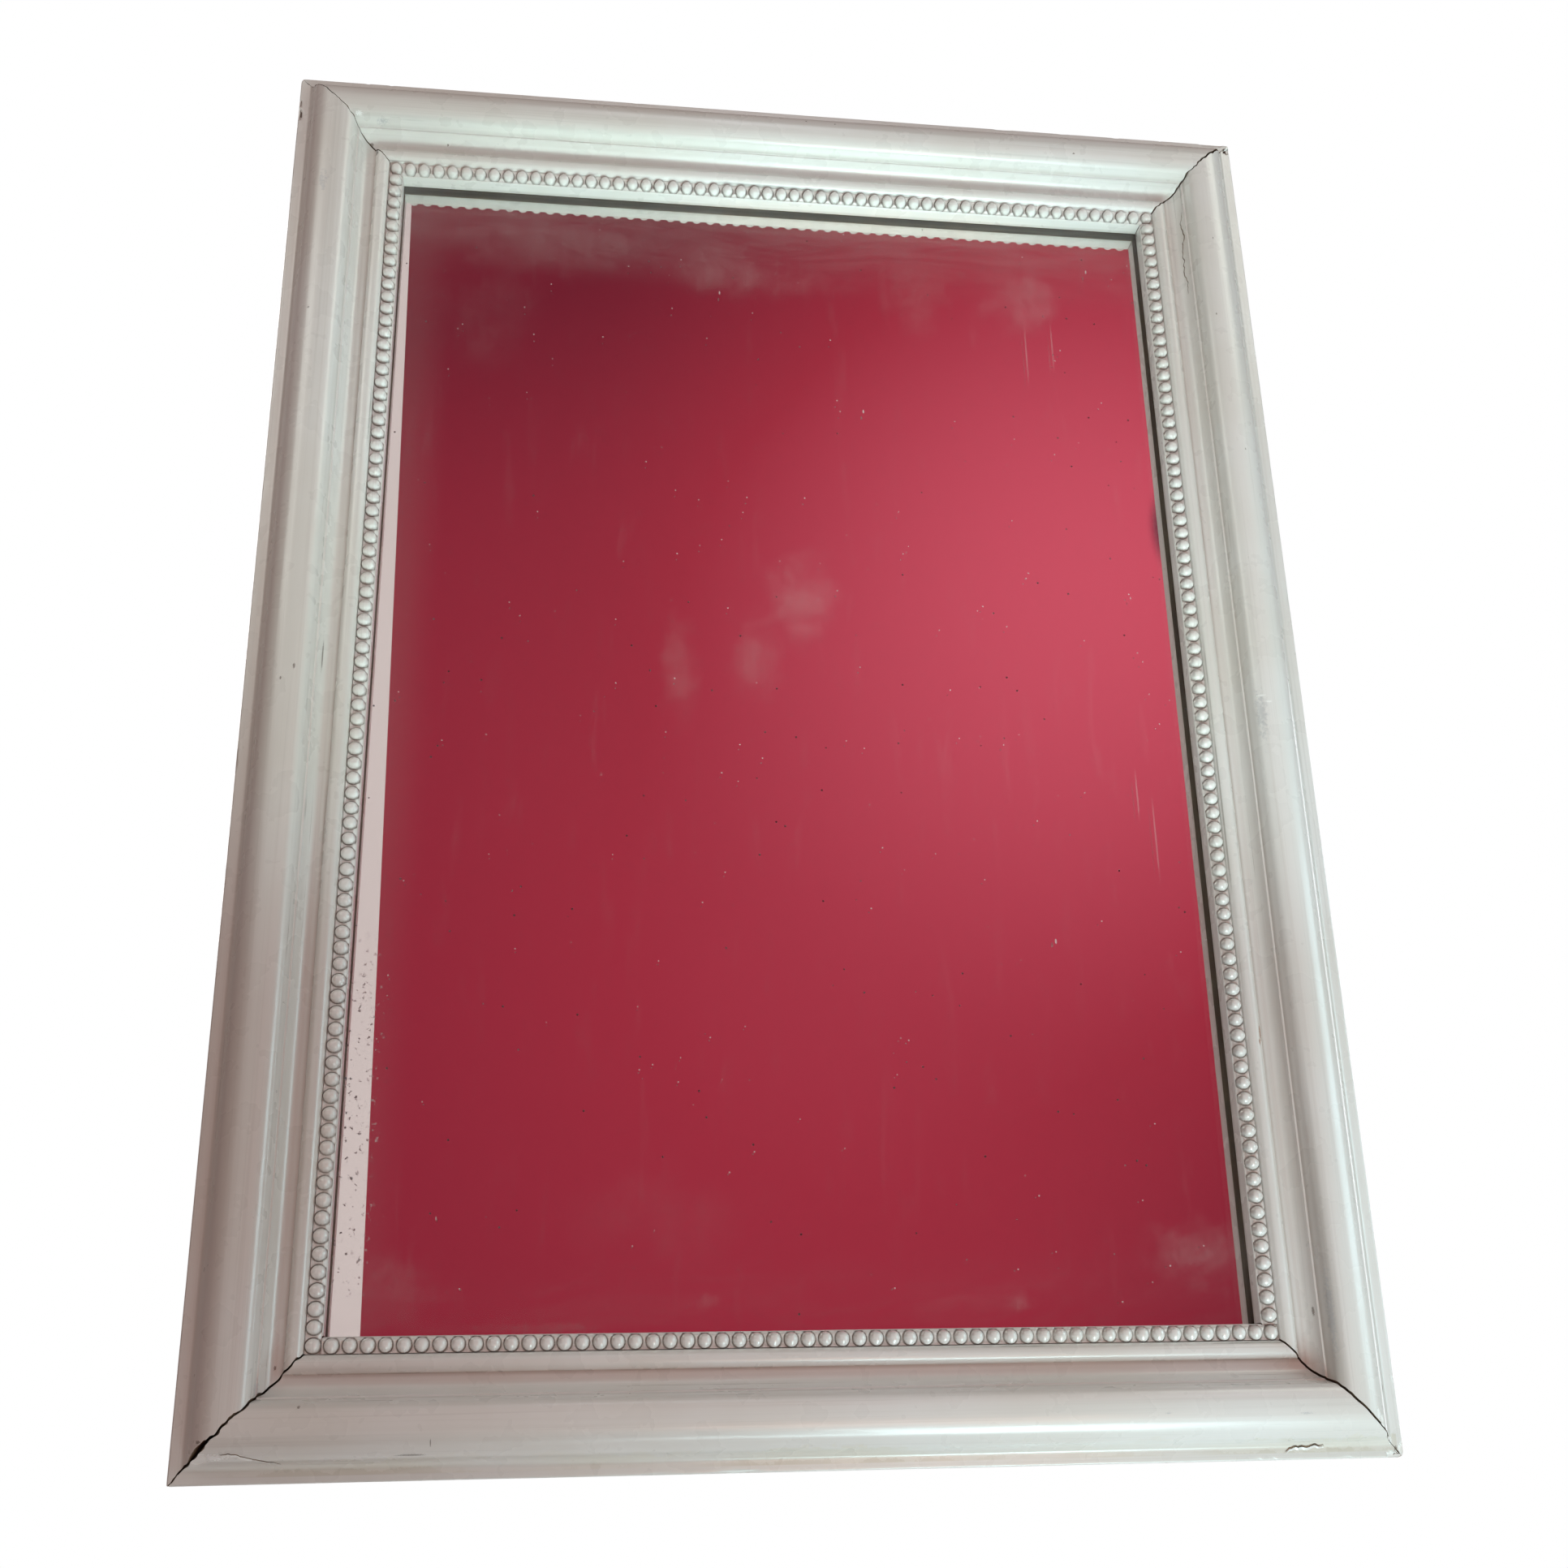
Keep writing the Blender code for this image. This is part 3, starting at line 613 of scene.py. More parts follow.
def painted_outline():
    """The painted part of the moulding's section, from the outer side face to the glass."""
    painted = arc((ARRIS_ROUND, ARRIS[1] - ARRIS_ROUND), ARRIS_ROUND, 180, 90, 6)
    painted += straight(painted[-1], STRIP_END, 5)
    painted += bend(STRIP_END, (5.7, 26.0), (6.7, 27.4), CAVETTO_END, 8)
    painted += bend(CAVETTO_END, (9.4, 34.6), (13.5, SWELL_CREST[1]), SWELL_CREST, 24)
    painted += bend(SWELL_CREST, (24.0, SWELL_CREST[1]), (27.4, 37.2), SHOULDER_END, 18)
    painted += straight(SHOULDER_END, SWELL_FOOT, 5)
    painted += straight(SWELL_FOOT, FILLET_START, 3) + straight(FILLET_START, FILLET_END, 2)
    painted += bend(FILLET_END, (32.0, 24.6), (34.0, COVE_FLOOR[1]), COVE_FLOOR, 14)
    painted += straight(COVE_FLOOR, RIDGE_EDGE, 4)
    painted += bend(RIDGE_EDGE, (39.7, 24.6), (41.0, RIDGE_CREST[1]), RIDGE_CREST, 10)
    painted += bend(RIDGE_CREST, (44.9, RIDGE_CREST[1]), (45.6, 24.5), RIM, 10)
    painted += straight(RIM, (CHANNEL[0], LIP_TOP), 2)
    painted += straight((CHANNEL[0], LIP_TOP), (CHANNEL[0], CHANNEL_FLOOR), 2)
    painted += straight((CHANNEL[0], CHANNEL_FLOOR), (CHANNEL[1], CHANNEL_FLOOR), 2)
    lip_start = (CHANNEL[1], LIP_TOP - 0.5)
    painted += [lip_start]
    painted += bend(lip_start, (lip_start[0] + 0.2, lip_start[1]), (SIGHT_EDGE, WORN_LIP + 0.5),
                    (SIGHT_EDGE, WORN_LIP), 5)
    painted += straight((SIGHT_EDGE, WORN_LIP), (SIGHT_EDGE, SHOULDER), 6)
    return painted


OUTER_SIDE_STEPS = 10


def section_outline():
    """The moulding's closed section, and how many of its points are painted."""
    painted = painted_outline()
    outer = [(0.0, 0.0)] + straight((0.0, 0.0), (0.0, painted[0][1]), OUTER_SIDE_STEPS)[:-1]
    bare = straight((SIGHT_EDGE, SHOULDER), (REBATE_WALL, SHOULDER), 4)
    bare += straight((REBATE_WALL, SHOULDER), (REBATE_WALL, 0.0), 5)
    bare += straight((REBATE_WALL, 0.0), (0.0, 0.0), 8)[:-1]
    return outer + painted + bare, len(outer) + len(painted)


def hollowness(outline, index):
    """0 on flat and round stretches, up to 1 where the section is hollow."""
    reach = 3
    before, here = outline[index - reach], outline[index]
    after = outline[(index + reach) % len(outline)]
    middle = ((before[0] + after[0]) / 2, (before[1] + after[1]) / 2)
    span = math.hypot(after[0] - before[0], after[1] - before[1])
    return min(1.0, max(0.0, 4.0 * (middle[1] - here[1]) / (span + 0.01)))


def stations(side):
    """Places along a rail from 0 to 1, close together near both mitres."""
    length = 2 * half_length(side)
    steps = [0.0]
    while steps[-1] < length / 2:
        reach = steps[-1]
        steps.append(reach + (0.5 if reach < 62.0 else 1.2 if reach < 90.0 else 3.5))
    steps = [s * (length / 2) / steps[-1] for s in steps]
    return [s / length for s in steps] + [1 - s / length for s in reversed(steps[:-1])]


# Dents and chips in the painted surface: (side, along, inward, half length, half width, depth, baring)
CHIPS = (
    ("bottom", -235.2, 9.6, 5.2, 2.3, 0.45, 1.0), ("right", -320.5, 12.3, 3.4, 0.9, 0.35, 1.0),
    ("right", -326.5, 7.6, 2.6, 1.1, 0.35, 1.0), ("right", 329.2, 1.4, 1.6, 2.2, 2.0, 2.0),
    ("left", 311.0, 0.3, 3.8, 1.6, 0.9, 1.8), ("left", 318.0, 0.3, 2.4, 1.2, 0.7, 1.8),
    ("top", 236.0, 0.3, 7.0, 1.2, 0.5, 0.0), ("right", -331.0, 0.6, 3.0, 1.6, 0.9, 1.0),
    ("bottom", 240.5, 0.8, 2.4, 1.6, 1.0, 1.0), ("bottom", 243.6, 0.4, 1.6, 2.4, 1.4, 1.0),
    ("top", 120.0, 0.2, 3.0, 0.8, 0.4, 0.0), ("right", 60.0, 0.2, 6.0, 0.8, 0.35, 0.0),
    ("bottom", -30.0, 0.2, 8.0, 0.8, 0.3, 0.0), ("left", -40.0, 0.2, 5.0, 0.8, 0.35, 0.0),
)
# Lifted paint: side, how high the edge stands, widths of the flake and of the dark gap, and its line
FLAKE_LINES = (
    ("bottom", 0.32, 1.0, 0.80,
     ((195.0, 3.2), (197.0, 4.5), (201.0, 4.7), (205.0, 4.8), (208.0, 5.5), (211.5, 5.2))),
    ("right", 0.28, 1.1, 0.17,
     ((285.5, 31.8), (278.0, 32.4), (270.0, 31.8), (262.0, 32.8), (254.0, 32.6), (248.0, 33.2),
      (243.0, 32.2), (235.0, 32.7))),
    ("bottom", 0.10, 0.8, 0.30, ((-226.0, 11.2), (-221.0, 10.8), (-214.0, 9.0), (-204.0, 7.2))),
)
NAIL_DIMPLES = [(side, sign * (HALF_HEIGHT - 18.0), depth)
                for side in ("left", "right") for sign in (-1, 1) for depth in (9.0, 19.0)]


def surface_wear(side, along, inward, forward, on_front):
    """(push out of the surface in mm, how bare the paint is) at one place of a rail."""
    seed = SIDES.index(side) + 1
    push = 0.05 * wobble(42.0, 9.0, along, inward, seed) + 0.025 * wobble(14.0, 5.0, along, inward, seed + 5)
    baring = 0.0
    if not on_front:
        for dimple_side, place, depth in NAIL_DIMPLES:
            if dimple_side == side and inward < 0.01:
                away = math.hypot(along - place, forward - depth)
                push -= 0.25 * (1 - smooth(1.6, 2.6, away))
        return push, baring
    if inward < 1.2:
        nick = wobble(6.0, 4.0, along, 0.0, seed + 9) + 0.6 * wobble(2.3, 4.0, along, 0.0, seed + 13)
        push -= 0.30 * smooth(0.42, 0.85, nick) * (1 - smooth(0.2, 1.2, inward))
    for chip_side, place, at, half_long, half_wide, depth, bared in CHIPS:
        if chip_side != side or abs(along - place) > 1.5 * half_long:
            continue
        away = math.hypot((along - place) / half_long, (inward - at) / half_wide)
        away += 0.25 * wobble(1.6, 1.6, along, inward, seed + 17)
        inside = 1 - smooth(0.82, 1.0, away)
        push -= depth * inside
        baring = max(baring, bared * inside)
    return push, baring


def outline_normals(outline):
    count = len(outline)
    normals = []
    for i in range(count):
        before, after = outline[i - 1], outline[(i + 1) % count]
        dx, dy = after[0] - before[0], after[1] - before[1]
        length = math.hypot(dx, dy) or 1.0
        normals.append((-dy / length, dx / length))
    return normals


def make_rail(side, lacquer, bare_wood, end_wood):
    outline, painted_end = section_outline()
    normals = outline_normals(outline)
    on_front = [OUTER_SIDE_STEPS < i < painted_end for i in range(len(outline))]
    hollows = [hollowness(outline, i) if front else 0.0 for i, front in enumerate(on_front)]
    low_corner, high_corner = corners_of(side)
    solid = bmesh.new()
    half = half_length(side)
    ends = []
    for inward, forward in outline:
        low = -(half - inward - mitre_retreat(side, low_corner, inward))
        high = half - inward - mitre_retreat(side, high_corner, inward)
        ends.append((low, high))
    rings = []
    places, hollow_values, bare_values = [], [], []
    for t in stations(side):
        ring = []
        for i, (inward, forward) in enumerate(outline):
            along = ends[i][0] + (ends[i][1] - ends[i][0]) * t
            push, baring = surface_wear(side, along, inward, forward, on_front[i])
            if i >= painted_end:
                push = 0.0
            by_channel = CHANNEL[0] - 0.6 < inward < CHANNEL[1] + 0.1 and forward < RIM[1] + 0.1
            if i > OUTER_SIDE_STEPS and by_channel:
                push *= 0.3
            at_s = max(0.0, inward + normals[i][0] * push)
            at_d = forward + normals[i][1] * push
            at_along, at_s = round_corner(side, along, at_s)
            ring.append(solid.verts.new(rail_point(side, at_along, at_s, at_d)))
            places.append((along * MM + SIDE_STEP * SIDES.index(side), inward * MM, forward * MM))
            hollow_values.append(hollows[i])
            bare_values.append(baring)
        rings.append(ring)
    for i, face in loft(solid, rings):
        face.material_index = 0 if i < painted_end - 1 else 1
    for face in cap(solid, rings):
        face.material_index = 2
    piece = finish_mesh(f"moulding_{side}", solid, [lacquer, bare_wood, end_wood], 40.0)
    store(piece, {"rail_place": places, "hollow": hollow_values, "bare": bare_values})
    settle(piece, "frame", "painted_wood", f"rail_{side}")


# ==== the pearl strips

# The strips butt at the corners: which ends carry the corner pearl
CORNER_OWNER = {("top", "left"): "top", ("top", "right"): "top", ("bottom", "right"): "bottom",
                ("bottom", "left"): "left"}
STRIP_EDGES = (CHANNEL[0] + 0.04, CHANNEL[1] - 0.04)
STRIP_BACK = CHANNEL_FLOOR + 0.05
STRIP_FACE = 22.4
STRIP_CELL = 0.36


def strip_reach(side, corner):
    """How far a strip runs along its rail towards a corner, in mm from the middle."""
    half = half_length(side)
    if CORNER_OWNER[corner] == side:
        return half - STRIP_EDGES[0]
    return half - STRIP_EDGES[1] - 0.22


def make_pearl_strip(side, lacquer):
    count = PEARLS_ACROSS if side in ("top", "bottom") else PEARLS_UP
    low_corner, high_corner = corners_of(side)
    start, end = -strip_reach(side, low_corner), strip_reach(side, high_corner)
    chance = random.Random(40 + SIDES.index(side))
    pearls = []
    for i in range(-1, count + 1):
        pearls.append(((i - (count - 1) / 2) * PEARL_PITCH + chance.uniform(-0.10, 0.10),
                       PEARL_LINE + chance.uniform(-0.07, 0.07), chance.uniform(0.96, 1.03),
                       chance.uniform(0.92, 1.05)))
    columns = int((end - start) / STRIP_CELL)
    rows = 22
    first = pearls[0][0]

    def height(along, inward):
        """(forward in mm, how deep in a valley) of the strip's face."""
        nearest = int(round((along - first) / PEARL_PITCH))
        raised_rim = 0.35 * smooth(1.9, 2.9, PEARL_LINE - inward)
        fallen_rim = 1.1 * smooth(1.7, 3.0, inward - PEARL_LINE)
        face = STRIP_FACE + raised_rim - fallen_rim
        best, valley = 0.0, 0.0
        for k in (nearest - 1, nearest, nearest + 1):
            if not 0 <= k < len(pearls):
                continue
            centre, line, size, rise = pearls[k]
            r = math.hypot((along - centre) / PEARL_HALF, (inward - line) / PEARL_ACROSS_HALF) / size
            if r < 1.0:
                best = max(best, rise * PEARL_RISE * math.sqrt(1 - r ** 2.2))
            valley = max(valley, bump_at(r, 1.05, 0.20))
        moat = 0.6 * valley * (1 - smooth(0.0, 0.9, best))
        return face + best - moat, valley * (1 - smooth(0.5, 1.8, best))

    solid = bmesh.new()
    grid, valleys, places = [], [], []
    for c in range(columns + 1):
        along = start + (end - start) * c / columns
        line = []
        for r in range(rows + 1):
            inward = STRIP_EDGES[0] + (STRIP_EDGES[1] - STRIP_EDGES[0]) * r / rows
            forward, valley = height(along, inward)
            line.append(solid.verts.new(rail_point(side, along, inward, forward)))
            valleys.append(valley)
            places.append((along * MM, inward * MM, forward * MM))
        grid.append(line)
    skin(solid, grid)
    rim = [line[0] for line in grid] + grid[-1][1:]
    rim += [line[-1] for line in reversed(grid[:-1])] + grid[0][-2:0:-1]
    base = []
    for vert in rim:
        foot = vert.co.copy()
        foot.y = -STRIP_BACK * MM
        base.append(solid.verts.new(foot))
        valleys.append(1.0)
        places.append((0.0, PEARL_LINE * MM, STRIP_BACK * MM))
    loft(solid, (rim, base))
    solid.faces.new(base)
    piece = finish_mesh(f"pearls_{side}", solid, [lacquer], 60.0)
    store(piece, {"rail_place": places, "hollow": valleys})
    settle(piece, "frame", "painted_pearls", f"pearl_strip_{side}")


# ==== glass, boards and metal

def block(solid, placed, size):
    bmesh.ops.create_cube(solid, size=1.0, matrix=placed @ Matrix.Diagonal((*size, 1.0)))


SCREW_TURN = math.radians(33.3)


def turned(name, start, direction, profile, segments, material, slot_width=0.0):
    """A turned piece; profile is (distance along, radius) in mm, first and last on its ends."""
    turn = Vector((0, 0, 1)).rotation_difference(Vector(direction)).to_matrix()
    solid = bmesh.new()
    rings = []
    for distance, radius in profile:
        ring = []
        for k in range(segments):
            angle = math.tau * k / segments
            local = Vector((radius * math.cos(angle), radius * math.sin(angle), distance)) * MM
            ring.append(solid.verts.new(start + turn @ local))
        rings.append(ring)
    loft(solid, rings)
    cap(solid, rings)
    piece = finish_mesh(name, solid, [material], 40.0)
    if slot_width:
        cut = bmesh.new()
        spin = turn.to_4x4() @ Matrix.Rotation(SCREW_TURN, 4, "Z")
        block(cut, Matrix.Translation(start) @ spin, Vector((12.0, slot_width, 1.4)) * MM)
        cutter = finish_mesh(name + "_slot", cut, [material])
        carve = piece.modifiers.new("slot", "BOOLEAN")
        carve.operation = "DIFFERENCE"
        carve.object = cutter
        graph = bpy.context.evaluated_depsgraph_get()
        mesh = bpy.data.meshes.new_from_object(piece.evaluated_get(graph))
        piece.modifiers.clear()
        piece.data = mesh
        bpy.data.objects.remove(cutter, do_unlink=True)
    return piece


def make_glass(glass, silver):
    low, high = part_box("mirror_glass")
    solid = bmesh.new()
    block(solid, Matrix.Translation((low + high) / 2), high - low)
    bmesh.ops.bevel(solid, geom=solid.edges[:], offset=0.4 * MM, segments=2, profile=0.5, affect="EDGES")
    piece = finish_mesh("plate_glass", solid, [glass])
    piece.data.shade_flat()
    settle(piece, "frame", "glass", "mirror_glass")
    recolour("mirror_silvering", silver)


def recolour(node_name, material):
    """Give a plain part of the frame its material; its shape stays."""
    materials = frame["nodes"][node_name].data.materials
    materials.clear()
    materials.append(material)


BOARD_CELLS = (40, 28)


def make_board(name, board_wood):
    """A thin board, slightly cupped, with eased edges."""
    low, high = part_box(f"back_board_{name}")
    across, up = BOARD_CELLS
    solid = bmesh.new()
    rims = []
    for layer, depth in enumerate((high.y, low.y)):
        rows = []
        for j in range(up + 1):
            row = []
            for i in range(across + 1):
                x = low.x + (high.x - low.x) * i / across
                z = low.z + (high.z - low.z) * j / up
                ease = 0.35 * MM if min(i, across - i, j, up - j) == 0 else 0.0
                cup = 0.25 * MM * noise.noise(Vector((x * 9, z * 14, layer * 5)))
                y = depth + (-1 if layer == 0 else 1) * (ease + 0.25 * MM + cup)
                row.append(solid.verts.new((x, y, z)))
            rows.append(row)
        skin(solid, rows)
        rims.append(rows[0] + [r[-1] for r in rows[1:]] + rows[-1][-2::-1] + [r[0] for r in rows[-2:0:-1]])
    loft(solid, rims)
    board = finish_mesh(f"pine_board_{name}", solid, [board_wood], 50.0)
    settle(board, "frame", "bare_wood", f"back_board_{name}")


def make_brad(node, steel):
    low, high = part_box(node)
    side = node.split("_")[1]
    direction = {"left": (-1, 0, 0), "right": (1, 0, 0), "top": (0, 0, 1), "bottom": (0, 0, -1)}[side]
    length = max(high - low) / MM
    start = (low + high) / 2 - Vector(direction) * length / 2 * MM
    profile = [(0.0, 0.55), (0.08, 0.8), (0.22, 0.92), (0.45, 0.92), (0.62, 0.62), (1.5, 0.58),
               (length - 2.0, 0.56), (length, 0.12)]
    piece = turned(f"{node}_pin", start, direction, profile, 20, steel)
    settle(piece, "frame", "steel", node)


def make_screw(node, steel):
    low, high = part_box(node)
    start = Vector(((low.x + high.x) / 2, high.y, (low.z + high.z) / 2))
    length = (high.y - low.y) / MM
    profile = [(0.0, 1.6), (0.06, 2.2), (0.28, 2.8), (0.6, 3.1), (1.0, 3.2), (1.35, 3.15), (1.5, 2.9),
               (1.5, 1.55), (2.6, 1.5)]
    thread = 2.6
    while thread < length - 3.5:
        profile += [(thread, 1.15), (thread + 0.35, 1.5), (thread + 0.6, 1.5), (thread + 0.95, 1.15)]
        thread += 1.1
    profile += [(length - 2.0, 0.9), (length, 0.15)]
    piece = turned(f"{node}_turned", start, (0, -1, 0), profile, 40, steel, slot_width=0.9)
    settle(piece, "frame", "steel", node)


def make_hangers(brass):
    for side in ("left", "right"):
        low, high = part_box(f"hanger_strap_{side}")
        joint = next(j for j in frame["joints"] if j["child"] == f"ring_{side}")
        pivot = Vector(joint["pos_m"])
        foot = (low.z - pivot.z) / MM
        thickness, gap = 1.0, low.y / MM
        outer = (high.z - pivot.z) / MM
        inner = outer - thickness
        centre = (pivot.y / MM, 0.0)
        outline = [(gap, foot)] + arc(centre, outer, 180, -70, 40) + arc(centre, inner, -70, 180, 40)
        outline += [(gap + thickness, foot)]
        half = (high.x - low.x) / 2
        solid = bmesh.new()
        rings = []
        for x in (-half, half):
            rings.append([solid.verts.new((pivot.x + x, y * MM, pivot.z + z * MM)) for y, z in outline])
        loft(solid, rings)
        cap(solid, rings)
        corners = [e for e in solid.edges if all(abs(v.co.z - low.z) < 1e-5 for v in e.verts)
                   and abs(e.verts[0].co.x - e.verts[1].co.x) < 1e-5]
        bmesh.ops.bevel(solid, geom=corners, offset=3.2 * MM, segments=8, profile=0.5, affect="EDGES")
        strap = finish_mesh(f"strap_{side}", solid, [brass], 40.0)
        softened = strap.modifiers.new("edges", "BEVEL")
        softened.width = 0.18 * MM
        softened.segments = 2
        softened.limit_method = "ANGLE"
        softened.angle_limit = math.radians(50)
        settle(strap, "frame", "brass", f"hanger_strap_{side}")
        make_ring(side, pivot, brass)


WIRE_SIDES = 20


def make_ring(side, pivot, brass):
    low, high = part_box(f"hanging_ring_{side}")
    wire = (high.y - low.y) / 2 / MM * 1.04
    half = (high.x - low.x) / 2 / MM - wire
    bottom = (low.z - pivot.z) / MM + wire
    corner = 2.2
    path = arc((half - corner, -corner), corner, 90, 0, 10)
    path += arc((0.0, bottom + half), half, 0, -180, 48)
    path += arc((corner - half, -corner), corner, 180, 90, 10)
    path += straight(path[-1], path[0], 12)[:-1]
    points = [Vector((x, 0, z)) for x, z in path]
    solid = bmesh.new()
    rings = []
    for i, point in enumerate(points):
        tangent = (points[(i + 1) % len(points)] - points[i - 1]).normalized()
        across = tangent.cross(Vector((0, 1, 0)))
        ring = []
        for k in range(WIRE_SIDES):
            angle = math.tau * k / WIRE_SIDES
            offset = across * math.cos(angle) + Vector((0, 1, 0)) * math.sin(angle)
            ring.append(solid.verts.new(pivot + (point + offset * wire) * MM))
        rings.append(ring)
    loft(solid, rings + rings[:1])
    ring_piece = finish_mesh(f"ring_{side}_wire", solid, [brass], 60.0)
    settle(ring_piece, f"ring_{side}", "brass", f"hanging_ring_{side}")


def ribbon(name, side, line, width, near_height, far_height, thickness, material):
    """A thin strip along a line of (along, inward) on a rail; its far edge may stand off the surface."""
    samples = []
    for (a0, s0), (a1, s1) in zip(line, line[1:]):
        for step in range(8):
            t = step / 8
            along = a0 + (a1 - a0) * t
            wander = 0.45 * wobble(2.6, 1.0, along, 0.0, 3.7) + 0.25 * wobble(0.9, 1.0, along, 0.0, 8.1)
            samples.append((along, s0 + (s1 - s0) * t + wander))
    samples.append(line[-1])
    solid = bmesh.new()
    rings = []
    for i, (along, inward) in enumerate(samples):
        taper = math.sin(math.pi * (i + 0.6) / (len(samples) + 0.2)) ** 0.5
        corners = ((0.0, near_height), (width * taper, near_height + (far_height - near_height) * taper))
        ring = []
        for across, height in corners + tuple((a, h - thickness) for a, h in reversed(corners)):
            at = inward + across
            ring.append(solid.verts.new(rail_point(side, along, at, forward_at(at) + height)))
        rings.append(ring)
    loft(solid, rings)
    cap(solid, rings)
    piece = finish_mesh(name, solid, [material], 30.0)
    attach(piece, "frame")


def make_flakes(lacquer, dark):
    """Paint that has cracked and lifted: thin curled slivers with a dark gap beside their free edge, which
    is bare wood and painted shadow under the lifted edge.
    """
    for number, (side, lift, flake_width, gap_width, line) in enumerate(FLAKE_LINES, 1):
        gap_line = [(along, inward - 0.1) for along, inward in line]
        ribbon(f"bared_and_shaded_crack_{number}", side, gap_line, gap_width + 0.1, 0.05, 0.05, 0.3, dark)
        lifted = [(along, inward - flake_width) for along, inward in line]
        ribbon(f"lifted_paint_{number}", side, lifted, flake_width, 0.04, lift, 0.12, lacquer)


# ==== camera, light and surroundings

CAMERA_FROM_CENTRE = Vector((-0.1021, -0.7563, -0.3192))
AIM_FROM_CENTRE = Vector((-0.0055, -0.0255, -0.0445))
CAMERA_ROLL = -1.22
CAMERA_LENS = 40.0


def point_at(thing, place, target, roll=0.0):
    """Set a camera or a light at a place, looking at a target."""
    thing.location = place
    thing.rotation_mode = "QUATERNION"
    turn = (Vector(target) - Vector(place)).to_track_quat("-Z", "Y")
    thing.rotation_quaternion = turn @ Quaternion((0, 0, 1), math.radians(roll))


def make_camera():
    camera = link_object("camera", bpy.data.cameras.new("camera"))
    camera.data.sensor_width = 36.0
    camera.data.lens = CAMERA_LENS
    point_at(camera, CENTRE + CAMERA_FROM_CENTRE, CENTRE + AIM_FROM_CENTRE, CAMERA_ROLL)
    bpy.context.scene.camera = camera


def add_light(name, place, target, size, watts, colour, spread=180.0):
    lamp = bpy.data.lights.new(name, "AREA")
    lamp.shape = "RECTANGLE"
    lamp.size, lamp.size_y = size
    lamp.energy = watts
    lamp.color = colour
    lamp.spread = math.radians(spread)
    light = link_object(name, lamp)
    point_at(light, place, target)
    return light


def make_lights():
    # name, place from the frame's middle, size, watts and colour
    lights = (
        ("window_low_front", (0.3, -0.8, -1.2), 0.5, 11.4, (0.72, 0.98, 1.0)),
        ("window_right", (1.25, -0.68, 0.0), 0.6, 5.4, (0.66, 0.94, 1.0)),
        ("window_high_right", (1.0, -0.8, 1.2), 0.6, 3.6, (0.97, 1.0, 0.88)),
        ("room_left", (-1.0, -1.0, 0.9), 0.6, 3.6, (0.95, 1.0, 0.92)),
        ("strip_high_front", (0.1, -1.3, 1.8), 0.5, 1.9, (0.92, 0.95, 1.0)),
        ("warm_bounce", (0.3, -1.4, -0.8), 0.5, 3.0, (1.0, 0.55, 0.40)),
        ("back_high", (-1.0, 1.3, 0.8), 1.0, 22.0, (1.0, 0.97, 0.94)),
        ("back_side", (1.2, 1.1, 0.1), 1.0, 10.0, (0.94, 0.97, 1.0)),
    )
    for name, place, size, watts, colour in lights:
        add_light(name, CENTRE + Vector(place), CENTRE, (size, size), watts, colour)
    upward = add_light("reflector_under_top", CENTRE + Vector((0.0, -0.17, -0.24)),
                       CENTRE + Vector((0.0, -0.02, 0.30)), (0.40, 0.06), 0.33, (0.74, 1.0, 0.93), 70.0)
    upward.visible_glossy = False


def stage_sheet(name, corners, material):
    """A flat four-cornered surface of the surroundings."""
    solid = bmesh.new()
    solid.faces.new([solid.verts.new(corner) for corner in corners])
    sheet = finish_mesh(name, solid, [material])
    return sheet


def make_shade_card():
    """A dull upright card low on the left that keeps the light off the lower left corner."""
    corners = ((-0.85, -1.35, -0.95), (0.10, -1.35, -0.95), (0.10, -0.25, -0.62), (-0.85, -0.25, -0.62))
    shade = Shade("shade_card")
    mottle = shade.noise(shade.place(), 4.0)
    shade.set("Base Color", shade.mix(mottle, (0.22, 0.14, 0.12), (0.26, 0.17, 0.15)))
    shade.set("Roughness", 0.9)
    card = stage_sheet("shade_card", [CENTRE + Vector(c) for c in corners], shade.material)
    card.visible_camera = False


def make_world():
    """Plain white behind the object, and a dim warm fill as its light."""
    world = bpy.data.worlds.new("studio")
    world.use_nodes = True
    nodes, links = world.node_tree.nodes, world.node_tree.links
    nodes.clear()
    mix = nodes.new("ShaderNodeMixShader")
    links.new(nodes.new("ShaderNodeLightPath").outputs["Is Camera Ray"], mix.inputs[0])
    for socket, colour, strength in ((1, (0.62, 0.40, 0.38, 1.0), 0.28), (2, (1.0, 1.0, 1.0, 1.0), 1.0)):
        sky = nodes.new("ShaderNodeBackground")
        sky.inputs["Color"].default_value = colour
        sky.inputs["Strength"].default_value = strength
        links.new(sky.outputs[0], mix.inputs[socket])
    links.new(mix.outputs[0], nodes.new("ShaderNodeOutputWorld").inputs["Surface"])
    bpy.context.scene.world = world


FLOOR_HALF = 9.0
FLOOR_DROP = 1.3


def make_floor():
    level = BOTTOM - FLOOR_DROP
    signs = ((-1, -1), (1, -1), (1, 1), (-1, 1))
    shade = Shade("pale_floor")
    speckle = shade.noise(shade.place(), 3.0, 2.0)
    shade.set("Base Color", shade.mix(speckle, (0.86, 0.86, 0.85), (0.90, 0.90, 0.89)))
    shade.set("Roughness", 0.8)
    # the floor is lifted to a pale tone for itself and throws no extra light up at the frame
    shade.set("Emission Color", (0.92, 1.0, 1.0))
    shade.set("Emission Strength", 0.7)
    shade.material.cycles.emission_sampling = "NONE"
    corners = [(x * FLOOR_HALF, y * FLOOR_HALF, level) for x, y in signs]
    floor = stage_sheet("floor", corners, shade.material)
    floor.visible_diffuse = False


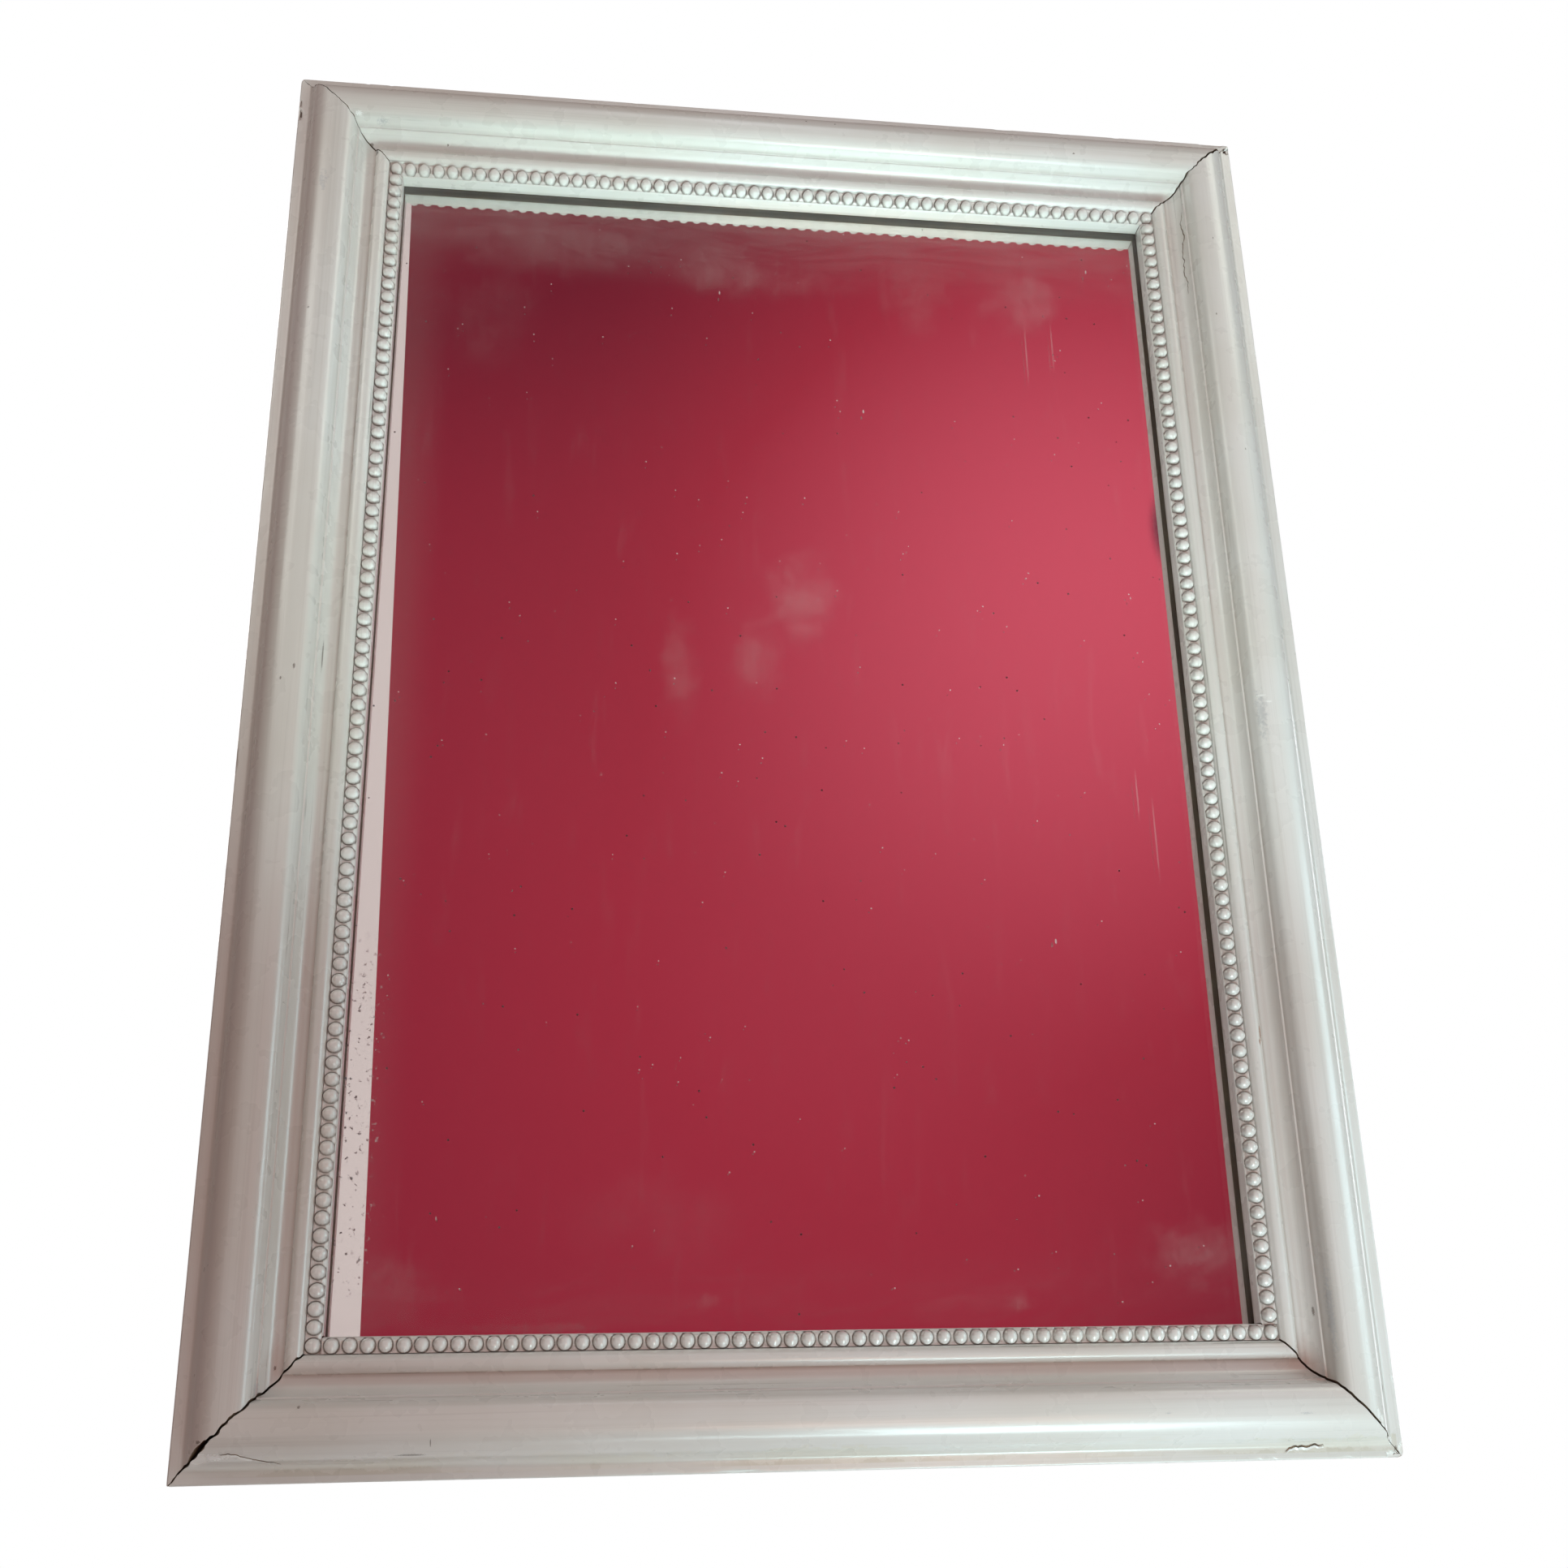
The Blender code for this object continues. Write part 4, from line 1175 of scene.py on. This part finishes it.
def glowing_sheet(name, corners, shade, colour, strength):
    """A surface that only reflections see."""
    glow = shade.node("ShaderNodeEmission", {"Color": colour, "Strength": strength})
    shade.links.new(glow.outputs[0], shade.output.inputs["Surface"])
    sheet = stage_sheet(name, corners, shade.material)
    sheet.visible_camera = False
    sheet.visible_diffuse = False
    sheet.visible_shadow = False


def make_backdrop():
    """The red hanging that the mirror faces, and the pale wall to the left of it."""
    y = -1.5
    right, low, high = 1.9, CENTRE.z - 0.9, CENTRE.z + 2.2
    edge_low, edge_high = -0.322, -0.374
    shade = Shade("red_hanging")
    place = shade.place()
    level = 0.10
    # brighter and darker areas: x, height from the frame's middle, radii across and up, how much
    for x, up, radius_x, radius_z, change in (
            (0.30, 0.35, 1.1, 1.3, 0.32), (0.80, 0.95, 0.95, 0.95, 0.55),
            (-0.35, 1.55, 0.9, 0.7, -0.20), (0.90, -0.35, 0.50, 0.55, -0.14)):
        area = shade.blob(place, (x, y, CENTRE.z + up), (radius_x, 5.0, radius_z), 0.0, 0.0)
        level = shade.plus(level, shade.both(area, change))
    ramp = shade.node("ShaderNodeValToRGB", {0: level})
    stops = ramp.color_ramp.elements
    stops[0].position, stops[0].color = 0.0, (0.15, 0.010, 0.023, 1)
    stops[1].position, stops[1].color = 0.8, (0.60, 0.078, 0.125, 1)
    stops.new(0.35).color = (0.32, 0.022, 0.043, 1)
    shadow = shade.blob(place, (0.785, y, CENTRE.z + 0.945), (0.035, 5.0, 0.085), 0.0, 0.3)
    colour = shade.mix(shade.both(shadow, 0.85), ramp.outputs[0], (0.03, 0.02, 0.035))
    corners = ((edge_low, y, low), (right, y, low), (right, y, high), (edge_high, y, high))
    glowing_sheet("red_hanging", corners, shade, colour, 1.2)

    shade = Shade("pale_wall")
    soft = shade.mix(shade.noise(shade.place(), 2.0, 1.0), (0.74, 0.60, 0.60), (0.80, 0.66, 0.65))
    near, far, behind = edge_low + 0.1, edge_low - 1.2, y - 0.02
    corners = ((far, behind, low), (near, behind, low), (near, behind, high), (far, behind, high))
    glowing_sheet("pale_wall", corners, shade, soft, 0.95)


def main():
    scene = bpy.context.scene
    scene.view_settings.view_transform = "Standard"
    lacquer = lacquer_material("old_lacquer", True)
    # the pearls' valleys take the hollow darkening stronger and darker, as painted shade round each pearl
    pearl_lacquer = lacquer_material("pearl_lacquer", False, 0.85, (0.29, 0.265, 0.235))
    glossy = pearl_lacquer.node_tree.nodes["Principled BSDF"]
    glossy.inputs["Coat Weight"].default_value = 0.8
    glossy.inputs["Coat Roughness"].default_value = 0.08
    aged_pine = wood_material("aged_pine", (0.52, 0.36, 0.21), (0.38, 0.24, 0.13), 2)
    rail_wood = wood_material("rail_wood", (0.40, 0.28, 0.17), (0.28, 0.18, 0.10), 0, along_rails=True)
    end_wood = wood_material("end_wood", (0.20, 0.13, 0.08), (0.08, 0.05, 0.03), 1)
    steel = metal_material("dull_steel", (0.42, 0.39, 0.36), (0.20, 0.10, 0.05), 0.38)
    brass = metal_material("old_brass", (0.48, 0.35, 0.165), (0.17, 0.12, 0.06), 0.36)
    for side in SIDES:
        make_rail(side, lacquer, rail_wood, end_wood)
        make_pearl_strip(side, pearl_lacquer)
    make_glass(glass_material(), silver_material())
    for name in ("upper", "lower"):
        make_board(name, aged_pine)
    for node in sorted(frame["nodes"]):
        if node.startswith("brad_"):
            make_brad(node, steel)
        if node.startswith("hanger_screw"):
            make_screw(node, steel)
        if node.startswith("mitre_nail"):
            recolour(node, steel)
        if node.startswith("packing_slip"):
            recolour(node, aged_pine)
    make_hangers(brass)
    make_flakes(pearl_lacquer, end_wood)
    make_camera()
    make_lights()
    make_world()
    make_shade_card()
    make_floor()
    make_backdrop()


main()
